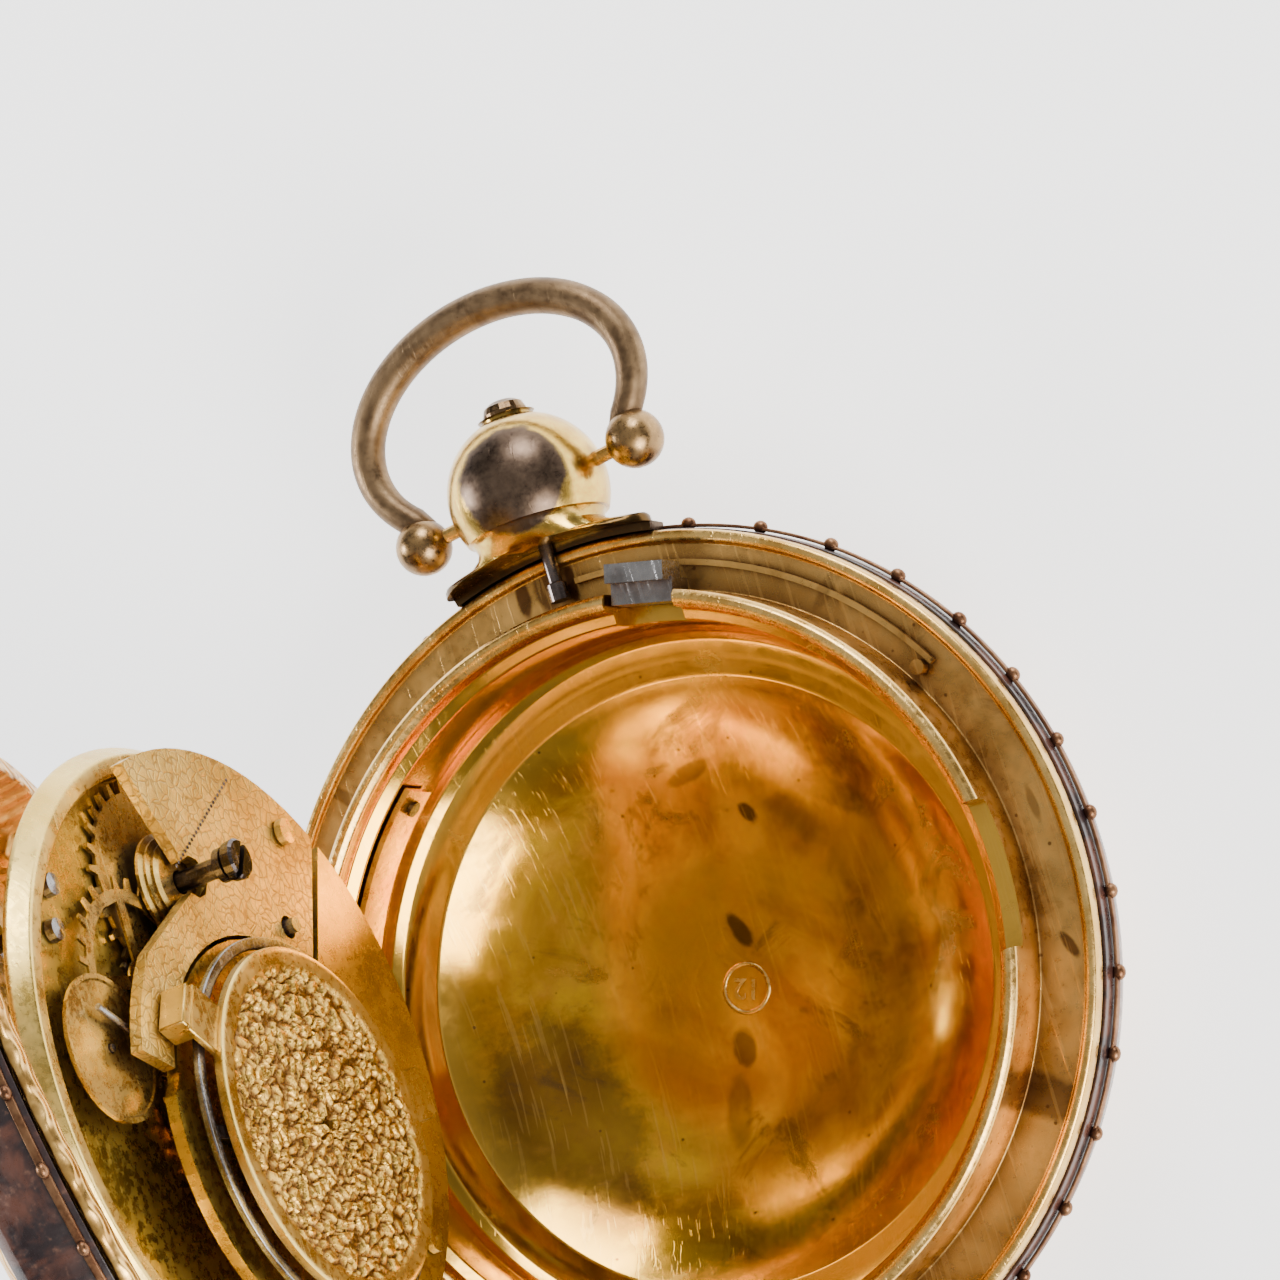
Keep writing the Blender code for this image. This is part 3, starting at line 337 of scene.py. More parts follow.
def engraved_material(name, light, deep, cell, depth, rough=(0.32, 0.5), groove_shade=0.85):
    """Gilt with scrolled engraving: warped cells give leaf shapes, with painted shade in the grooves between and in the
    low places of the relief.
    """
    g = Graph(name)
    bend = g.add("ShaderNodeTexNoise")
    g.put(bend.inputs["Vector"], g.coord)
    bend.inputs["Scale"].default_value = cell * 0.55
    bend.inputs["Detail"].default_value = 1.0
    shifted = g.add("ShaderNodeVectorMath")
    shifted.operation = "SCALE"
    g.put(shifted.inputs[0], bend.outputs["Color"])
    shifted.inputs["Scale"].default_value = 1.3 / cell
    place = g.add("ShaderNodeVectorMath")
    place.operation = "ADD"
    g.put(place.inputs[0], g.coord)
    g.put(place.inputs[1], shifted.outputs[0])
    leaves = g.cells(cell, "DISTANCE_TO_EDGE", place.outputs[0])
    veins = g.cells(cell * 2.6, "DISTANCE_TO_EDGE", place.outputs[0])
    small = g.noise(3000.0, 6.0, 0.7)
    broad = g.noise(260.0, 5.0, 0.6)
    relief = g.math("ADD", g.span(leaves, 0.02, 0.16), g.math("MULTIPLY", g.span(veins, 0.02, 0.12), 0.35))
    cut_depth = g.add("ShaderNodeAttribute")
    cut_depth.attribute_name = "relief"
    low_place_shade = g.span(cut_depth.outputs["Fac"], 0.30, 0.85, 0.0, 0.9)
    # Painted shade along the grooves at the leaf edges and in the deep places of the relief.
    groove_shade_mask = g.math("MAXIMUM", g.span(leaves, 0.02, 0.09, groove_shade, 0.0), low_place_shade)
    tone = g.mix(g.span(broad, 0.35, 0.65), deep, light)
    tone = g.mix(g.span(small, 0.4, 0.75, 0.0, 0.35), tone, deep)
    tone = g.mix(groove_shade_mask, tone, (0.16, 0.07, 0.02))
    # Painted shade along the veins.
    tone = g.mix(g.span(veins, 0.02, 0.07, 0.4 * groove_shade, 0.0), tone, (0.30, 0.15, 0.05))
    # Painted shade in recesses.
    tone = g.mix(g.painted_shade_in_hollows(0.8, 0.6), tone, (0.14, 0.06, 0.02))
    normal = g.bump(small, 0.006)
    normal = g.bump(relief, depth, normal)
    return g.close(tone, g.span(small, 0.3, 0.7, rough[0], rough[1]), normal)


def turned_engraving_material():
    """Engine turning: fine crossed waves round the centre."""
    g = Graph("engine_turned_gold")
    x, y, _ = g.split()
    angle = g.math("ARCTAN2", y, x)
    far = g.radius()
    swing = g.math("MULTIPLY", g.math("SINE", g.math("MULTIPLY", angle, 48.0)), 0.32)
    rings = g.math("SINE", g.math("ADD", g.math("MULTIPLY", far, 9000.0), g.math("MULTIPLY", swing, 8.0)))
    fade = g.span(far, 2.2 * MM, 3.2 * MM)
    small = g.noise(2200.0, 7.0, 0.7)
    broad = g.noise(210.0, 6.0, 0.65)
    tone = g.mix(g.span(broad, 0.36, 0.62), (0.62, 0.32, 0.07), (1.0, 0.62, 0.19))
    # Painted shade in the troughs of the turned waves.
    tone = g.mix(g.math("MULTIPLY", g.span(rings, -1.0, -0.2, 0.5, 0.0), fade), tone, (0.25, 0.11, 0.03))
    # Painted shade in recesses.
    tone = g.mix(g.painted_shade_in_hollows(1.2, 0.7), tone, BROWN)
    normal = g.bump(small, 0.005)
    normal = g.bump(g.math("MULTIPLY", rings, fade), 0.05, normal)
    return g.close(tone, g.span(small, 0.3, 0.7, 0.24, 0.42), normal)


def enamel_material():
    g = Graph("enamel")
    cracks = g.cells(190.0, "DISTANCE_TO_EDGE", None)
    small = g.noise(900.0, 6.0, 0.6)
    tone = g.mix(g.span(small, 0.3, 0.7, 0.0, 0.5), (0.90, 0.89, 0.84), (0.80, 0.78, 0.70))
    tone = g.mix(g.span(cracks, 0.002, 0.008, 0.35, 0.0), tone, (0.35, 0.28, 0.2))
    g.shader.inputs["Coat Weight"].default_value = 0.6
    return g.close(tone, g.span(small, 0.3, 0.7, 0.12, 0.22), g.bump(small, 0.006), 0.0)


def crystal_material():
    g = Graph("crystal")
    small = g.noise(1200.0, 6.0, 0.6)
    g.shader.inputs["Transmission Weight"].default_value = 1.0
    g.shader.inputs["IOR"].default_value = 1.46
    lines = g.scratches(2400.0, (0.0, 0.0, 35.0), 0.64)
    shine = g.math("ADD", g.span(small, 0.3, 0.8, 0.0, 0.04), g.math("MULTIPLY", lines, 0.2))
    tone = g.mix(g.span(small, 0.4, 0.8), (0.97, 0.98, 0.97), (0.90, 0.93, 0.90))
    return g.close(tone, shine, g.bump(small, 0.0008), 0.0)


# The finishes used below
BOWL = bowl_material()
RIM_GOLD = metal("rim_gold", (0.95, 0.62, 0.20), (0.66, 0.36, 0.08), (0.16, 0.07, 0.02), (0.18, 0.34), 330.0, 0.35, 0.5,
                 0.7, spun=0.003)
LEDGE = metal("ledge_gold", (0.80, 0.47, 0.14), (0.46, 0.24, 0.06), (0.09, 0.034, 0.012), (0.24, 0.46), 210.0, 0.75,
              1.0, 0.6, spun=0.004, marks=LEDGE_MARKS)
CASE_GOLD = metal("case_gold", GOLD, DEEP_GOLD, BROWN, (0.2, 0.4), 240.0, 0.5, 0.8, 0.6)
BACK = turned_engraving_material()
SKIN = shell_material()
STUD = metal("stud_brass", (0.34, 0.18, 0.09), (0.16, 0.07, 0.035), (0.05, 0.02, 0.015), (0.3, 0.5), 700.0, 0.6, 1.0, 0.2)
BOW = metal("bow_brass", (0.29, 0.19, 0.10), (0.13, 0.080, 0.043), (0.06, 0.03, 0.015), (0.36, 0.52), 520.0, 0.4, 0.7,
            0.5, grain=0.01)
BALL = metal("ball_brass", (0.44, 0.27, 0.11), (0.15, 0.09, 0.045), (0.09, 0.05, 0.03), (0.2, 0.4), 420.0, 0.5, 0.7, 0.3)
PENDANT = patched_gilt_material("pendant_gold", (0.0, 29.8, 0.3), (0.222, 0.055, 0.973), 0.73)
PLATE = metal("plate_gold", (0.88, 0.63, 0.19), (0.64, 0.42, 0.09), (0.22, 0.11, 0.03), (0.22, 0.38), 240.0, 0.14, 0.7, 0.6,
              spun=0.004)
OLIVE = metal("olive_gold", (0.90, 0.60, 0.10), (0.62, 0.40, 0.05), (0.16, 0.08, 0.02), (0.2, 0.36), 230.0, 0.2, 0.9,
              0.5, wave=0.12)
BRIDGE = engraved_material("bridge_gold", (0.84, 0.58, 0.15), (0.58, 0.37, 0.075), 1500.0, 0.022, (0.34, 0.5), 0.5)
COCK = engraved_material("cock_gold", (0.92, 0.58, 0.11), (0.60, 0.33, 0.045), 2900.0, 0.008, (0.22, 0.38), 0.18)
TRAIN = metal("train_brass", (0.80, 0.54, 0.15), (0.52, 0.33, 0.08), BROWN, (0.2, 0.36), 420.0, 0.12, 0.9, 0.5)
STEEL = metal("steel", (0.40, 0.39, 0.39), (0.20, 0.185, 0.18), (0.10, 0.05, 0.03), (0.16, 0.34), 420.0, 0.4, 0.9, 0.7)
DARK = metal("dark_steel", (0.20, 0.16, 0.15), (0.06, 0.045, 0.04), (0.02, 0.012, 0.01), (0.16, 0.32), 380.0, 0.4, 0.9,
             0.6)
BLUED = metal("blued_steel", (0.045, 0.07, 0.20), (0.02, 0.025, 0.09), (0.015, 0.01, 0.02), (0.14, 0.26), 500.0, 0.3,
              0.7, 0.4)
ENAMEL = enamel_material()
CRYSTAL = crystal_material()


# ---------------------------------------------------------------- shapes

def soften(mesh, angle=38.0):
    mesh.shade_smooth()
    mesh.set_sharp_from_angle(angle=math.radians(angle))


def rounded(profile, reach, closed=False):
    """The profile with each corner replaced by a small curve."""
    made = []
    count = len(profile)
    for index, point in enumerate(profile):
        here = Vector(point)
        if not closed and index in (0, count - 1):
            made.append(tuple(here))
            continue
        before = Vector(profile[index - 1]) - here
        after = Vector(profile[(index + 1) % count]) - here
        if before.angle(-after) < math.radians(14):
            made.append(tuple(here))
            continue
        first = here + before.normalized() * min(reach, before.length * 0.42)
        last = here + after.normalized() * min(reach, after.length * 0.42)
        for share in (0.0, 0.25, 0.5, 0.75, 1.0):
            made.append(tuple(first.lerp(here, share).lerp(here.lerp(last, share), share)))
    return made


def lathe(name, profile, place, body, finish, replaces=(), closed=False, steps=STEPS, soft=0.12, at=(0.0, 0.0)):
    profile = rounded(profile, soft, closed)
    count = len(profile)
    points = []
    rows = []
    for r, z in profile:
        if r < 1e-6:
            rows.append([len(points)] * steps)
            points.append((at[0] * MM, at[1] * MM, z * MM))
            continue
        rows.append(list(range(len(points), len(points) + steps)))
        for step in range(steps):
            angle = 2 * math.pi * step / steps
            points.append(((at[0] + r * math.cos(angle)) * MM, (at[1] + r * math.sin(angle)) * MM, z * MM))
    faces = []
    for index in range(count if closed else count - 1):
        low = rows[index]
        high = rows[(index + 1) % count]
        for step in range(steps):
            following = (step + 1) % steps
            face = [low[step], low[following], high[following], high[step]]
            face = list(dict.fromkeys(face))
            if len(face) > 2:
                faces.append(face)
    mesh = bpy.data.meshes.new(name)
    mesh.from_pydata(points, [], faces)
    return piece(name, mesh, place, body, finish, replaces)


def keep_shut_place(mesh, place):
    """Stores where each vertex is in the shut position, which the materials read."""
    back = place.inverted()
    values = []
    for vertex in mesh.vertices:
        values.extend(back @ vertex.co)
    if "shut_place" in mesh.attributes:
        mesh.attributes.remove(mesh.attributes["shut_place"])
    mesh.attributes.new("shut_place", "FLOAT_VECTOR", "POINT").data.foreach_set("vector", values)


def piece(name, mesh, place, body, finish, replaces=()):
    """Closes up a mesh as one shown piece of the watch."""
    shape = bmesh.new()
    shape.from_mesh(mesh)
    bmesh.ops.recalc_face_normals(shape, faces=shape.faces)
    shape.to_mesh(mesh)
    shape.free()
    soften(mesh)
    mesh.transform(place)
    keep_shut_place(mesh, place)
    obj = bpy.data.objects.new(name, mesh)
    bpy.context.scene.collection.objects.link(obj)
    mesh.materials.append(finish)
    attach(obj, body)
    if replaces:
        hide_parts(*replaces)
    return obj


def cut(obj, size, at, turn=0.0, place=CASE):
    """Takes a block out of a piece."""
    shape = bmesh.new()
    bmesh.ops.create_cube(shape, size=1.0)
    bmesh.ops.scale(shape, vec=[value * MM for value in size], verts=shape.verts)
    bmesh.ops.bevel(shape, geom=shape.edges[:], offset=0.12 * MM, segments=2, affect="EDGES")
    mesh = bpy.data.meshes.new("cutter")
    shape.to_mesh(mesh)
    shape.free()
    cutter = bpy.data.objects.new("cutter", mesh)
    bpy.context.scene.collection.objects.link(cutter)
    cutter.matrix_world = place @ Matrix.Translation(Vector(at) * MM) @ Matrix.Rotation(turn, 4, "Z")
    apply_boolean(obj, cutter, "DIFFERENCE")


def round_cut(obj, radius):
    """Takes the upright cylinder of the case band out of a piece."""
    shape = bmesh.new()
    bmesh.ops.create_cone(shape, cap_ends=True, segments=STEPS, radius1=radius * MM, radius2=radius * MM, depth=16 * MM,
                          matrix=CASE)
    mesh = bpy.data.meshes.new("cutter")
    shape.to_mesh(mesh)
    shape.free()
    cutter = bpy.data.objects.new("cutter", mesh)
    bpy.context.scene.collection.objects.link(cutter)
    apply_boolean(obj, cutter, "DIFFERENCE")


def apply_boolean(obj, other, kind):
    step = obj.modifiers.new("step", "BOOLEAN")
    step.operation = kind
    step.solver = "EXACT"
    step.object = other
    bpy.context.view_layer.update()
    made = bpy.data.meshes.new_from_object(obj.evaluated_get(bpy.context.evaluated_depsgraph_get()))
    obj.modifiers.clear()
    obj.data = made
    bpy.data.objects.remove(other, do_unlink=True)
    soften(made)
    keep_shut_place(made, CASE)


def tube(points, radii, sides=20):
    """Rings of points along a path, as vertices and faces."""
    vertices = []
    faces = []
    side_way = None
    for index, point in enumerate(points):
        ahead = points[min(index + 1, len(points) - 1)] - points[max(index - 1, 0)]
        ahead.normalize()
        if side_way is None:
            side_way = ahead.orthogonal().normalized()
        side_way = (side_way - ahead * side_way.dot(ahead)).normalized()
        other = ahead.cross(side_way)
        for side in range(sides):
            angle = 2 * math.pi * side / sides
            spoke = side_way * math.cos(angle) + other * math.sin(angle)
            vertices.append((point + spoke * radii[index]) * MM)
    for index in range(len(points) - 1):
        for side in range(sides):
            following = (side + 1) % sides
            low = index * sides
            faces.append((low + side, low + following, low + sides + following, low + sides + side))
    faces.append(tuple(range(sides)))
    faces.append(tuple(reversed(range(len(vertices) - sides, len(vertices)))))
    return vertices, faces


def studs(name, height, place, body, skip, replaces):
    """A slim band with a domed stud head at each step."""
    shape = bmesh.new()
    for index in range(STUDS):
        angle = 2 * math.pi * (index + 0.25) / STUDS
        if skip(angle):
            continue
        wobble = 1.0 + 0.12 * noise.noise((index * 1.7, 0.3, 0.0))
        turn = Matrix.Rotation(angle, 4, "Z") @ Matrix.Translation((BAND_RADIUS * MM, 0.0, height * MM))
        turn = turn @ Matrix.Diagonal((0.40 * MM, 0.46 * MM * wobble, 0.34 * MM, 1.0))
        bmesh.ops.create_uvsphere(shape, u_segments=14, v_segments=10, radius=1.0, matrix=turn)
    mesh = bpy.data.meshes.new(name)
    shape.to_mesh(mesh)
    shape.free()
    heads = piece(name, mesh, place, body, STUD, replaces)
    profile = [(26.2, height - 0.28), (26.4, height - 0.22), (26.4, height + 0.22), (26.2, height + 0.28)]
    lathe(name + "_band", profile, place, body, STUD, closed=True, soft=0.06)
    return heads


def near(angle, target, reach):
    return abs(math.remainder(angle - target, 2 * math.pi)) < reach


# ---------------------------------------------------------------- case

def floor_z(radius):
    return -9.1 + 4.7 * (radius / 17.8) ** 3.2


def build_case():
    stations = [17.8 * index / 26 for index in range(27)]
    profile = [(r, floor_z(r)) for r in stations]
    profile += [(18.5, -4.28), (19.1, -4.15), (19.8, -3.85), (20.3, -3.35), (20.6, -2.7), (20.7, -2.0), (20.7, 1.3),
                (21.35, 1.75), (21.4, 2.75), (21.75, 3.1), (22.1, 3.1), (22.4, 2.8), (22.4, -0.4), (25.2, -0.4),
                (25.3, -0.1), (25.6, 0.0), (25.9, -0.1), (26.0, -0.35), (26.0, -1.0), (21.7, -1.3), (21.5, -2.5),
                (21.0, -3.9), (19.6, -4.95)]
    profile += [(r, floor_z(r) - 0.85) for r in reversed(stations)]
    body = lathe("case_body_shell", profile, CASE, "case", BOWL, ("case_body",), soft=0.14)
    angle = math.radians(74.5)
    cut(body, (3.6, 4.4, 4.0), (21.9 * math.cos(angle), 21.9 * math.sin(angle), 2.2), angle)
    cut(body, (3.6, 8.6, 2.6), (21.9, -1.0, 3.1))
    cut(body, (4.0, 9.4, 4.3), (-21.9, 0.0, 4.0))
    cut(body, (1.6, 4.0, 5.0), (-20.4, 0.0, 1.9))
    mesh = body.data
    mesh.materials.clear()
    for finish in (BOWL, RIM_GOLD, LEDGE, CASE_GOLD):
        mesh.materials.append(finish)
    for face in mesh.polygons:
        centre = (face.center - Vector((0.0, 0.0, RIM))) / MM
        radius = math.hypot(centre.x, centre.y)
        if radius > 25.12 or centre.z > 2.6:
            face.material_index = 1
        elif radius > 22.3 and centre.z > -0.9:
            face.material_index = 2
        elif centre.z < floor_z(min(radius, 17.8)) - 0.4:
            face.material_index = 3
    under = [(r, floor_z(r) - 1.1) for r in (0.0, 7.0, 11.5, 15.0, 17.8)]
    inner = under + [(19.75, -5.25), (21.3, -4.1), (21.85, -2.5), (22.0, -1.6)]
    outer = [(25.3, -1.6), (25.6, -2.2), (25.3, -3.6), (24.8, -4.75), (24.2, -5.7), (23.3, -6.9), (22.2, -7.9),
             (20.8, -8.95), (19.2, -9.7), (17.6, -10.3), (16.0, -10.7), (14.5, -10.92), (13.0, -11.0), (0.0, -11.0)]
    lathe("back_shell_fine", inner + outer, CASE, "case", BACK, ("back_shell",), soft=0.3)
    skin = [(24.5, -5.9), (25.2, -4.7), (25.55, -3.75), (25.85, -2.3), (25.85, -1.2), (26.1, -1.2), (26.1, -2.8),
            (25.95, -3.8), (25.5, -5.0), (24.95, -6.1)]
    lathe("back_covering_fine", skin, CASE, "case", SKIN, ("back_covering",), closed=True, soft=0.08)
    studs("back_studs_fine", -2.3, CASE, "case",
          lambda angle: near(angle, math.pi / 2, 0.27) or near(angle, math.pi + math.radians(10), 0.2), ("back_studs",))


def build_stamp():
    """The small punched number in the middle of the bowl."""
    ring = [(1.28, -9.1), (1.33, -9.03), (1.42, -9.01), (1.5, -9.03), (1.56, -9.1)]
    lathe("stamp_ring", ring, CASE, "case", RIM_GOLD, soft=0.03, steps=96, at=(-0.08, -0.25))
    text = bpy.data.curves.new("stamp_number", "FONT")
    text.body = "12"
    text.size = 1.75 * MM
    text.extrude = 0.035 * MM
    text.bevel_depth = 0.02 * MM
    text.align_x = "CENTER"
    text.align_y = "CENTER"
    guide = bpy.data.objects.new("stamp_guide", text)
    bpy.context.scene.collection.objects.link(guide)
    bpy.context.view_layer.update()
    mesh = bpy.data.meshes.new_from_object(guide.evaluated_get(bpy.context.evaluated_depsgraph_get()))
    bpy.data.objects.remove(guide, do_unlink=True)
    mesh.materials.clear()
    mesh.transform(Matrix.Translation((-0.08 * MM, -0.25 * MM, -9.06 * MM)) @ Matrix.Rotation(math.radians(160), 4, "Z"))
    piece("stamp_digits", mesh, CASE, "case", RIM_GOLD)


def build_pendant():
    sections = [(25.3, 6.9, 2.6), (26.0, 6.85, 2.55), (26.2, 6.7, 2.5), (26.34, 6.1, 2.5), (26.5, 4.95, 2.6),
                (26.8, 4.2, 3.1), (27.1, 3.88, 3.55), (27.4, 3.9, 3.85), (27.65, 4.05, 4.05)]
    for index in range(1, 30):
        angle = math.radians(-30 + 4.0 * index)
        radius = 4.75 * math.cos(angle)
        sections.append((29.8 + 4.75 * math.sin(angle), radius, radius))
    sections.append((34.52, 1.7, 1.7))
    sections.append((34.5, 1.46, 1.46))
    sections.append((31.4, 1.46, 1.46))
    sides = 64
    points = []
    faces = []
    for y, half_x, half_z in sections:
        for side in range(sides):
            angle = 2 * math.pi * side / sides
            points.append((half_x * math.cos(angle) * MM, y * MM, (0.3 + half_z * math.sin(angle)) * MM))
    for row in range(len(sections) - 1):
        for side in range(sides):
            following = (side + 1) % sides
            low = row * sides
            faces.append((low + side, low + following, low + sides + following, low + sides + side))
    faces.append(tuple(range(sides)))
    faces.append(tuple(reversed(range(len(points) - sides, len(points)))))
    mesh = bpy.data.meshes.new("pendant_ball")
    mesh.from_pydata(points, [], faces)
    ball = piece("pendant_ball", mesh, CASE, "case", PENDANT, ("pendant",))
    round_cut(ball, 26.52)
    section = [(26.03, -1.75), (26.56, -1.7), (26.6, -0.1), (26.5, 0.06), (26.03, 0.04)]
    steps = 48
    points = []
    faces = []
    for step in range(steps + 1):
        angle = math.pi / 2 + math.radians(14.6) * (2 * step / steps - 1)
        points.extend((r * math.cos(angle) * MM, r * math.sin(angle) * MM, z * MM) for r, z in section)
    for step in range(steps):
        for index in range(5):
            following = (index + 1) % 5
            low = step * 5
            faces.append((low + index, low + following, low + 5 + following, low + 5 + index))
    faces.append(tuple(range(5)))
    faces.append(tuple(reversed(range(steps * 5, steps * 5 + 5))))
    mesh = bpy.data.meshes.new("pendant_seat")
    mesh.from_pydata(points, [], faces)
    piece("pendant_seat", mesh, CASE, "case", PENDANT)
    yaw = math.radians(5.0)
    tilt = Matrix.Rotation(yaw, 3, "Z") @ Matrix.Rotation(math.radians(-2.0), 3, "X")
    base = Vector((0.0, 29.8, 0.3))
    path = []
    for step in range(97):
        angle = math.radians(-38 + step * 256 / 96)
        path.append(base + tilt @ Vector((8.99 * math.cos(angle), 5.15 + 6.28 * math.sin(angle), 0.0)))
    path = [base + tilt @ Vector((7.44, 0.6, 0.0))] + path + [base + tilt @ Vector((-7.44, 0.6, 0.0))]
    count = len(path) - 1
    radii = []
    for index in range(count + 1):
        swell = 0.84 + 0.26 * math.sin(math.pi * index / count) ** 0.8
        radii.append(min(1.07, swell * (1.0 + 0.02 * noise.noise((index * 0.13, 2.0, 0.0)))))
    points, faces = tube(path, radii)
    mesh = bpy.data.meshes.new("bow_ring")
    mesh.from_pydata(points, [], faces)
    piece("bow_ring", mesh, CASE, "bow", BOW, ("bow",))
    for name, side, radius in (("bow_ball_left", -1, 1.66), ("bow_ball_right", 1, 1.72)):
        shape = bmesh.new()
        bmesh.ops.create_uvsphere(shape, u_segments=40, v_segments=24, radius=radius * MM)
        for vertex in shape.verts:
            vertex.co *= 1.0 + 0.012 * noise.noise(vertex.co / MM * 0.9)
        centre = base + Vector((side * 7.44 * math.cos(yaw), side * 7.44 * math.sin(yaw), 0.0))
        bmesh.ops.translate(shape, verts=shape.verts, vec=centre * MM)
        mesh = bpy.data.meshes.new(name)
        shape.to_mesh(mesh)
        shape.free()
        piece(name, mesh, CASE, "bow", BALL)


# ---------------------------------------------------------------- lid

def build_lid():
    inside = [(0.0, 8.4), (4.0, 8.37), (8.0, 8.2), (11.0, 8.0), (14.0, 7.7), (16.6, 7.3), (19.0, 6.8), (20.6, 6.25),
              (22.0, 5.6), (23.1, 4.8), (24.0, 3.9), (24.4, 3.1), (24.6, 2.2), (24.6, 0.15)]
    outside = [(25.7, 0.15), (26.0, 0.45), (26.0, 0.9), (25.3, 1.05), (25.2, 2.6), (24.8, 3.7), (24.2, 4.6),
               (23.4, 5.5), (22.4, 6.3), (20.8, 7.05), (19.0, 7.6), (16.6, 8.1), (14.0, 8.5), (11.0, 8.8), (8.0, 9.0),
               (4.0, 9.15), (0.0, 9.2)]
    lathe("front_lid_fine", list(reversed(outside)) + list(reversed(inside)), LID, "lid", BACK, ("front_lid",), soft=0.2)
    skin = [(24.2, 6.1), (24.95, 5.4), (25.45, 4.6), (25.85, 3.8), (26.1, 2.9), (26.1, 1.05), (25.6, 1.15), (25.5, 2.7),
            (25.2, 3.7), (24.7, 4.5), (23.7, 5.9)]
    lathe("lid_covering_fine", skin, LID, "lid", SKIN, ("lid_covering",), closed=True, soft=0.08)
    studs("lid_studs_fine", 1.65, LID, "lid",
          lambda angle: near(angle, math.pi / 2, 0.27) or near(angle, math.pi + math.radians(10), 0.26), ("lid_studs",))
    teeth = 96
    outline = []
    for tooth in range(teeth):
        for radius, share in ((18.0, 0.0), (17.55, 0.28), (17.22, 0.66), (17.3, 0.8), (17.75, 0.94)):
            angle = 2 * math.pi * (tooth + share) / teeth
            outline.append((radius * math.cos(angle), radius * math.sin(angle)))
    count = len(outline)
    rim = [(22.3 * math.cos(2 * math.pi * i / count), 22.3 * math.sin(2 * math.pi * i / count)) for i in range(count)]
    mid = [(18.9 * x / 22.3, 18.9 * y / 22.3) for x, y in rim]
    rows = [(outline, 4.52), (mid, 4.5), (rim, 4.5), (rim, 4.9), (mid, 4.9), (outline, 4.84)]
    points = [(x * MM, y * MM, z * MM) for row, z in rows for x, y in row]
    faces = []
    for row in range(len(rows)):
        low = row * count
        high = ((row + 1) % len(rows)) * count
        for index in range(count):
            following = (index + 1) % count
            faces.append((low + index, low + following, high + following, high + index))
    mesh = bpy.data.meshes.new("claw_ring_fine")
    mesh.from_pydata(points, [], faces)
    piece("claw_ring_fine", mesh, LID, "lid", PLATE, ("lid_claw_ring",))
    glass = [(0.0, 6.1), (5.0, 6.06), (10.0, 5.9), (15.0, 5.73), (19.4, 5.5), (19.4, 5.1), (15.0, 5.33), (10.0, 5.5),
             (5.0, 5.66), (0.0, 5.7)]
    lathe("crystal_fine", glass, LID, "lid", CRYSTAL, ("lid_crystal",), soft=0.08)


# ---------------------------------------------------------------- movement

def pebbles(place):
    """Height of the cock's engraved scrolls at a place, from 0 to 1."""
    bend = noise.noise_vector(place * 0.55) * 0.75
    distances, _ = noise.voronoi(place * 1.25 + bend)
    edge = distances[1] - distances[0]
    leaf = min(1.0, max(0.0, (edge - 0.04) / 0.28))
    inner, _ = noise.voronoi(place * 2.7 + bend * 1.7)
    vein = min(1.0, max(0.0, (inner[1] - inner[0]) / 0.3))
    return 0.82 * leaf + 0.18 * vein


def build_cock():
    """The engraved table over the balance, with a smooth light band round it."""
    rings = [0.42 + (9.1 - 0.42) * index / 96 for index in range(97)] + [9.25, 9.5, 9.9, 10.15, 10.26, 10.3]
    sides = 320
    points = []
    faces = []
    depths = []
    for ring, radius in enumerate(rings):
        for side in range(sides):
            angle = 2 * math.pi * side / sides
            x = radius * math.cos(angle)
            y = radius * math.sin(angle)
            height = -6.15
            depth = 0.0
            if radius <= 9.1:
                depth = (1.0 - pebbles(Vector((x, y, 0.0)))) * min(1.0, (9.2 - radius) / 0.3)
                height += 0.32 * depth
            elif radius > 10.2:
                height += (radius - 10.2) * 0.9
            points.append(((BALANCE[0] + x) * MM, (BALANCE[1] + y) * MM, height * MM))
            depths.append(depth)
    for radius in (10.3, 0.42):
        for side in range(sides):
            angle = 2 * math.pi * side / sides
            points.append(((BALANCE[0] + radius * math.cos(angle)) * MM, (BALANCE[1] + radius * math.sin(angle)) * MM,
                           -5.6 * MM))
            depths.append(0.0)
    rows = len(rings) + 2
    for row in range(rows):
        low = row * sides
        high = ((row + 1) % rows) * sides
        for side in range(sides):
            following = (side + 1) % sides
            faces.append((low + side, low + following, high + following, high + side))
    mesh = bpy.data.meshes.new("cock_table")
    mesh.from_pydata(points, [], faces)
    mesh.attributes.new("relief", "FLOAT", "POINT").data.foreach_set("value", depths)
    table = piece("cock_table", mesh, MOVEMENT, "movement", COCK, ("balance_cock",))
    table.data.materials.append(PLATE)
    back = MOVEMENT.inverted()
    for face in table.data.polygons:
        centre = back @ face.center / MM
        if math.hypot(centre.x - BALANCE[0], centre.y - BALANCE[1]) > 9.18:
            face.material_index = 1
    for name, degrees in (("cock_foot_east", 33.0), ("cock_foot_west", 172.0)):
        angle = math.radians(degrees)
        reach = 12.8
        shape = bmesh.new()
        for size, far, height in (((reach - 9.3, 3.2, 0.48), (9.3 + reach) / 2, -5.62),
                                  ((1.7, 2.8, 1.75), reach - 0.35, -4.88)):
            turn = Matrix.Translation((BALANCE[0] * MM, BALANCE[1] * MM, height * MM)) @ Matrix.Rotation(angle, 4, "Z")
            turn = turn @ Matrix.Translation((far * MM, 0.0, 0.0))
            turn = turn @ Matrix.Diagonal([value * MM for value in size] + [1.0])
            bmesh.ops.create_cube(shape, size=1.0, matrix=turn)
        bmesh.ops.bevel(shape, geom=shape.edges[:], offset=0.14 * MM, segments=3, affect="EDGES")
        mesh = bpy.data.meshes.new(name)
        shape.to_mesh(mesh)
        shape.free()
        piece(name, mesh, MOVEMENT, "movement", PLATE)


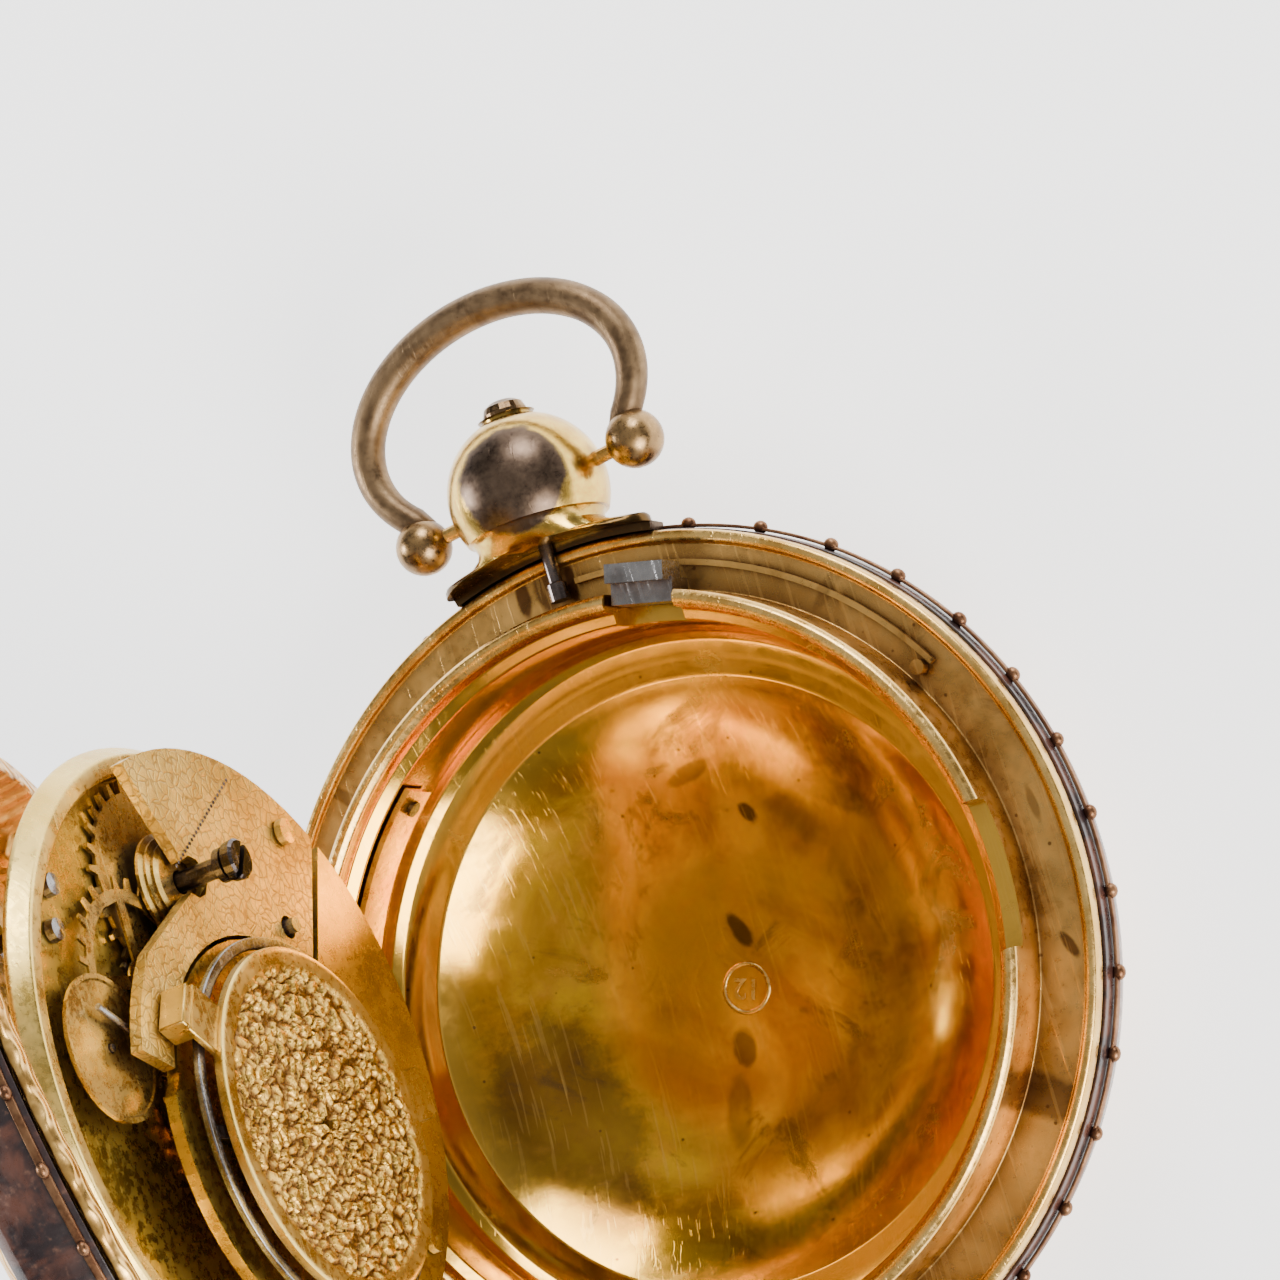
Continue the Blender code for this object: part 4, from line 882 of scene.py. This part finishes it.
def build_balance():
    rim = [(10.5, -4.8), (10.5, -5.15), (10.6, -5.2), (11.15, -5.2), (11.2, -5.12), (11.2, -4.82), (11.12, -4.75),
           (10.58, -4.75)]
    lathe("balance_rim", rim, MOVEMENT, "balance", STEEL, ("balance_wheel",), closed=True, soft=0.05, at=BALANCE)
    shape = bmesh.new()
    for arm in range(3):
        turn = Matrix.Translation((BALANCE[0] * MM, BALANCE[1] * MM, -4.97 * MM))
        turn = turn @ Matrix.Rotation(2 * math.pi * arm / 3, 4, "Z")
        turn = turn @ Matrix.Translation((5.65 * MM, 0.0, 0.0))
        turn = turn @ Matrix.Diagonal((9.9 * MM, 0.75 * MM, 0.36 * MM, 1.0))
        bmesh.ops.create_cube(shape, size=1.0, matrix=turn)
    bmesh.ops.bevel(shape, geom=shape.edges[:], offset=0.08 * MM, segments=2, affect="EDGES")
    mesh = bpy.data.meshes.new("balance_arms")
    shape.to_mesh(mesh)
    shape.free()
    piece("balance_arms", mesh, MOVEMENT, "balance", STEEL)


def build_movement():
    profile = [(0.0, -0.5), (19.5, -0.5), (19.6, -0.55), (19.55, -0.8), (18.85, -1.8), (18.7, -1.85), (17.85, -1.85),
               (17.7, -1.7), (17.7, -1.0), (0.0, -1.0)]
    plate = lathe("pillar_plate_fine", profile, MOVEMENT, "movement", PLATE, ("pillar_plate",), soft=0.1)
    plate.data.materials.append(OLIVE)
    back = MOVEMENT.inverted()
    for face in plate.data.polygons:
        centre = back @ face.center / MM
        if math.hypot(centre.x, centre.y) < 17.75 and centre.z < -0.7:
            face.material_index = 1
    build_cock()
    build_balance()
    start = Vector((-5.0, 16.6, -3.97))
    finish = Vector((3.2, 11.4, -3.97))
    shape = bmesh.new()
    for index in range(24):
        centre = start.lerp(finish, index / 23)
        turn = Matrix.Translation(centre * MM) @ Matrix.Diagonal((0.11 * MM, 0.11 * MM, 0.05 * MM, 1.0))
        bmesh.ops.create_icosphere(shape, subdivisions=2, radius=1.0, matrix=turn)
    mesh = bpy.data.meshes.new("bridge_beading")
    shape.to_mesh(mesh)
    shape.free()
    piece("bridge_beading", mesh, MOVEMENT, "movement", DARK)


# ---------------------------------------------------------------- carried-over nodes

FINISHES = {
    "barrel_bridge": BRIDGE, "top_plate": OLIVE, "fly_spring": CASE_GOLD, "fly_spring_screw": DARK,
    "lid_catch": STEEL, "lock_spring": LEDGE, "lock_spring_rivet": LEDGE, "pendant_button": BALL,
    "bow_pin_left": RIM_GOLD, "bow_pin_right": RIM_GOLD, "movement_hinge_case": CASE_GOLD,
    "movement_hinge_leaf": PLATE, "movement_hinge_pin": STEEL, "lid_hinge_case": BOW, "lid_hinge_leaf": BOW,
    "lid_hinge_pin": STEEL, "winding_arbor": DARK, "bridge_screw": PLATE, "plate_screw": PLATE, "edge_screw": STEEL,
    "edge_screw_low": STEEL, "dial": ENAMEL, "hour_hand": BLUED, "minute_hand": BLUED, "hairspring": BLUED,
    "pillar_north": TRAIN, "pillar_west": TRAIN, "pillar_south": TRAIN, "fusee": TRAIN, "fusee_wheel": TRAIN,
    "mainspring_barrel": TRAIN, "centre_wheel": TRAIN, "third_wheel": TRAIN, "contrate_wheel": TRAIN,
    "hour_wheel": TRAIN,
}
SMOOTH_ONLY = ("hairspring",)
PLACES = {"case": CASE, "bow": CASE, "button": CASE, "catch": CASE, "lid": LID}


def dress_nodes():
    for name, obj in frame["nodes"].items():
        if obj.hide_render:
            continue
        obj.data.materials.clear()
        obj.data.materials.append(FINISHES.get(name, STEEL))
        keep_shut_place(obj.data, PLACES.get(obj["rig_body"], MOVEMENT))
        soften(obj.data, 32.0)
        if name == "pendant_button":
            obj.data.materials.append(DARK)
            for face in obj.data.polygons:
                face.material_index = int(face.center.y < 31.0 * MM)
        if name in SMOOTH_ONLY:
            continue
        bevel = obj.modifiers.new("worn_edges", "BEVEL")
        bevel.width = 0.05 * MM
        bevel.segments = 2
        bevel.limit_method = "ANGLE"
        bevel.angle_limit = math.radians(40)
        bevel.harden_normals = False


# ---------------------------------------------------------------- floor, light, camera

def build_stage():
    mesh = bpy.data.meshes.new("floor")
    mesh.from_pydata([(-1.2, -1.2, 0.0), (1.2, -1.2, 0.0), (1.2, 1.2, 0.0), (-1.2, 1.2, 0.0)], [], [(0, 1, 2, 3)])
    floor = bpy.data.objects.new("floor", mesh)
    bpy.context.scene.collection.objects.link(floor)
    g = Graph("pale_floor")
    shade = g.mix(g.noise(6.0, 3.0), (0.90, 0.90, 0.90), (0.92, 0.92, 0.92))
    g.put(g.shader.inputs["Emission Color"], shade)
    g.shader.inputs["Emission Strength"].default_value = 1.9
    mesh.materials.append(g.close(shade, 0.8, None, 0.0))
    world = bpy.data.worlds.new("studio")
    world.use_nodes = True
    tree = world.node_tree
    coordinate = tree.nodes.new("ShaderNodeTexCoord")
    parts = tree.nodes.new("ShaderNodeSeparateXYZ")
    ramp = tree.nodes.new("ShaderNodeValToRGB")
    tree.links.new(coordinate.outputs["Generated"], parts.inputs[0])
    tree.links.new(parts.outputs[2], ramp.inputs[0])
    stops = ((0.0, 0.5), (0.22, 0.26), (0.45, 0.16), (0.70, 0.34), (0.88, 0.58), (1.0, 0.44))
    elements = ramp.color_ramp.elements
    while len(elements) < len(stops):
        elements.new(0.5)
    for element, (place, value) in zip(elements, stops):
        element.position = place
        element.color = (value, value * 0.985, value * 0.96, 1.0)
    background = tree.nodes["Background"]
    tree.links.new(ramp.outputs[0], background.inputs[0])
    background.inputs[1].default_value = 1.0
    bpy.context.scene.world = world
    for name, place, size, power, tint in (
            ("key_light", (0.34, -0.36, 0.36), 0.34, 5.0, (1.0, 0.97, 0.93)),
            ("top_light", (0.26, 0.66, 0.36), 0.34, 4.6, (1.0, 1.0, 1.0)),
            ("side_light", (-0.52, 0.16, 0.22), 0.16, 2.6, (0.97, 0.98, 1.0))):
        light = bpy.data.lights.new(name, "AREA")
        light.shape = "SQUARE"
        light.size = size
        light.energy = power
        light.color = tint
        lamp = bpy.data.objects.new(name, light)
        bpy.context.scene.collection.objects.link(lamp)
        lamp.location = place
        lamp.rotation_euler = (Vector((0.0, 0.0, 0.01)) - Vector(place)).to_track_quat("-Z", "Y").to_euler()


def build_camera():
    data = bpy.data.cameras.new("camera")
    data.sensor_width = 36.0
    data.lens = 245.846
    data.clip_start = 0.01
    camera = bpy.data.objects.new("camera", data)
    bpy.context.scene.collection.objects.link(camera)
    camera.location = (0.20615558, -0.07438189, 0.46083856)
    camera.rotation_euler = [math.radians(value) for value in (2.8319346, 26.2204696, -18.4892077)]
    bpy.context.scene.camera = camera


build_case()
build_stamp()
build_pendant()
build_lid()
build_movement()
dress_nodes()
build_stage()
build_camera()
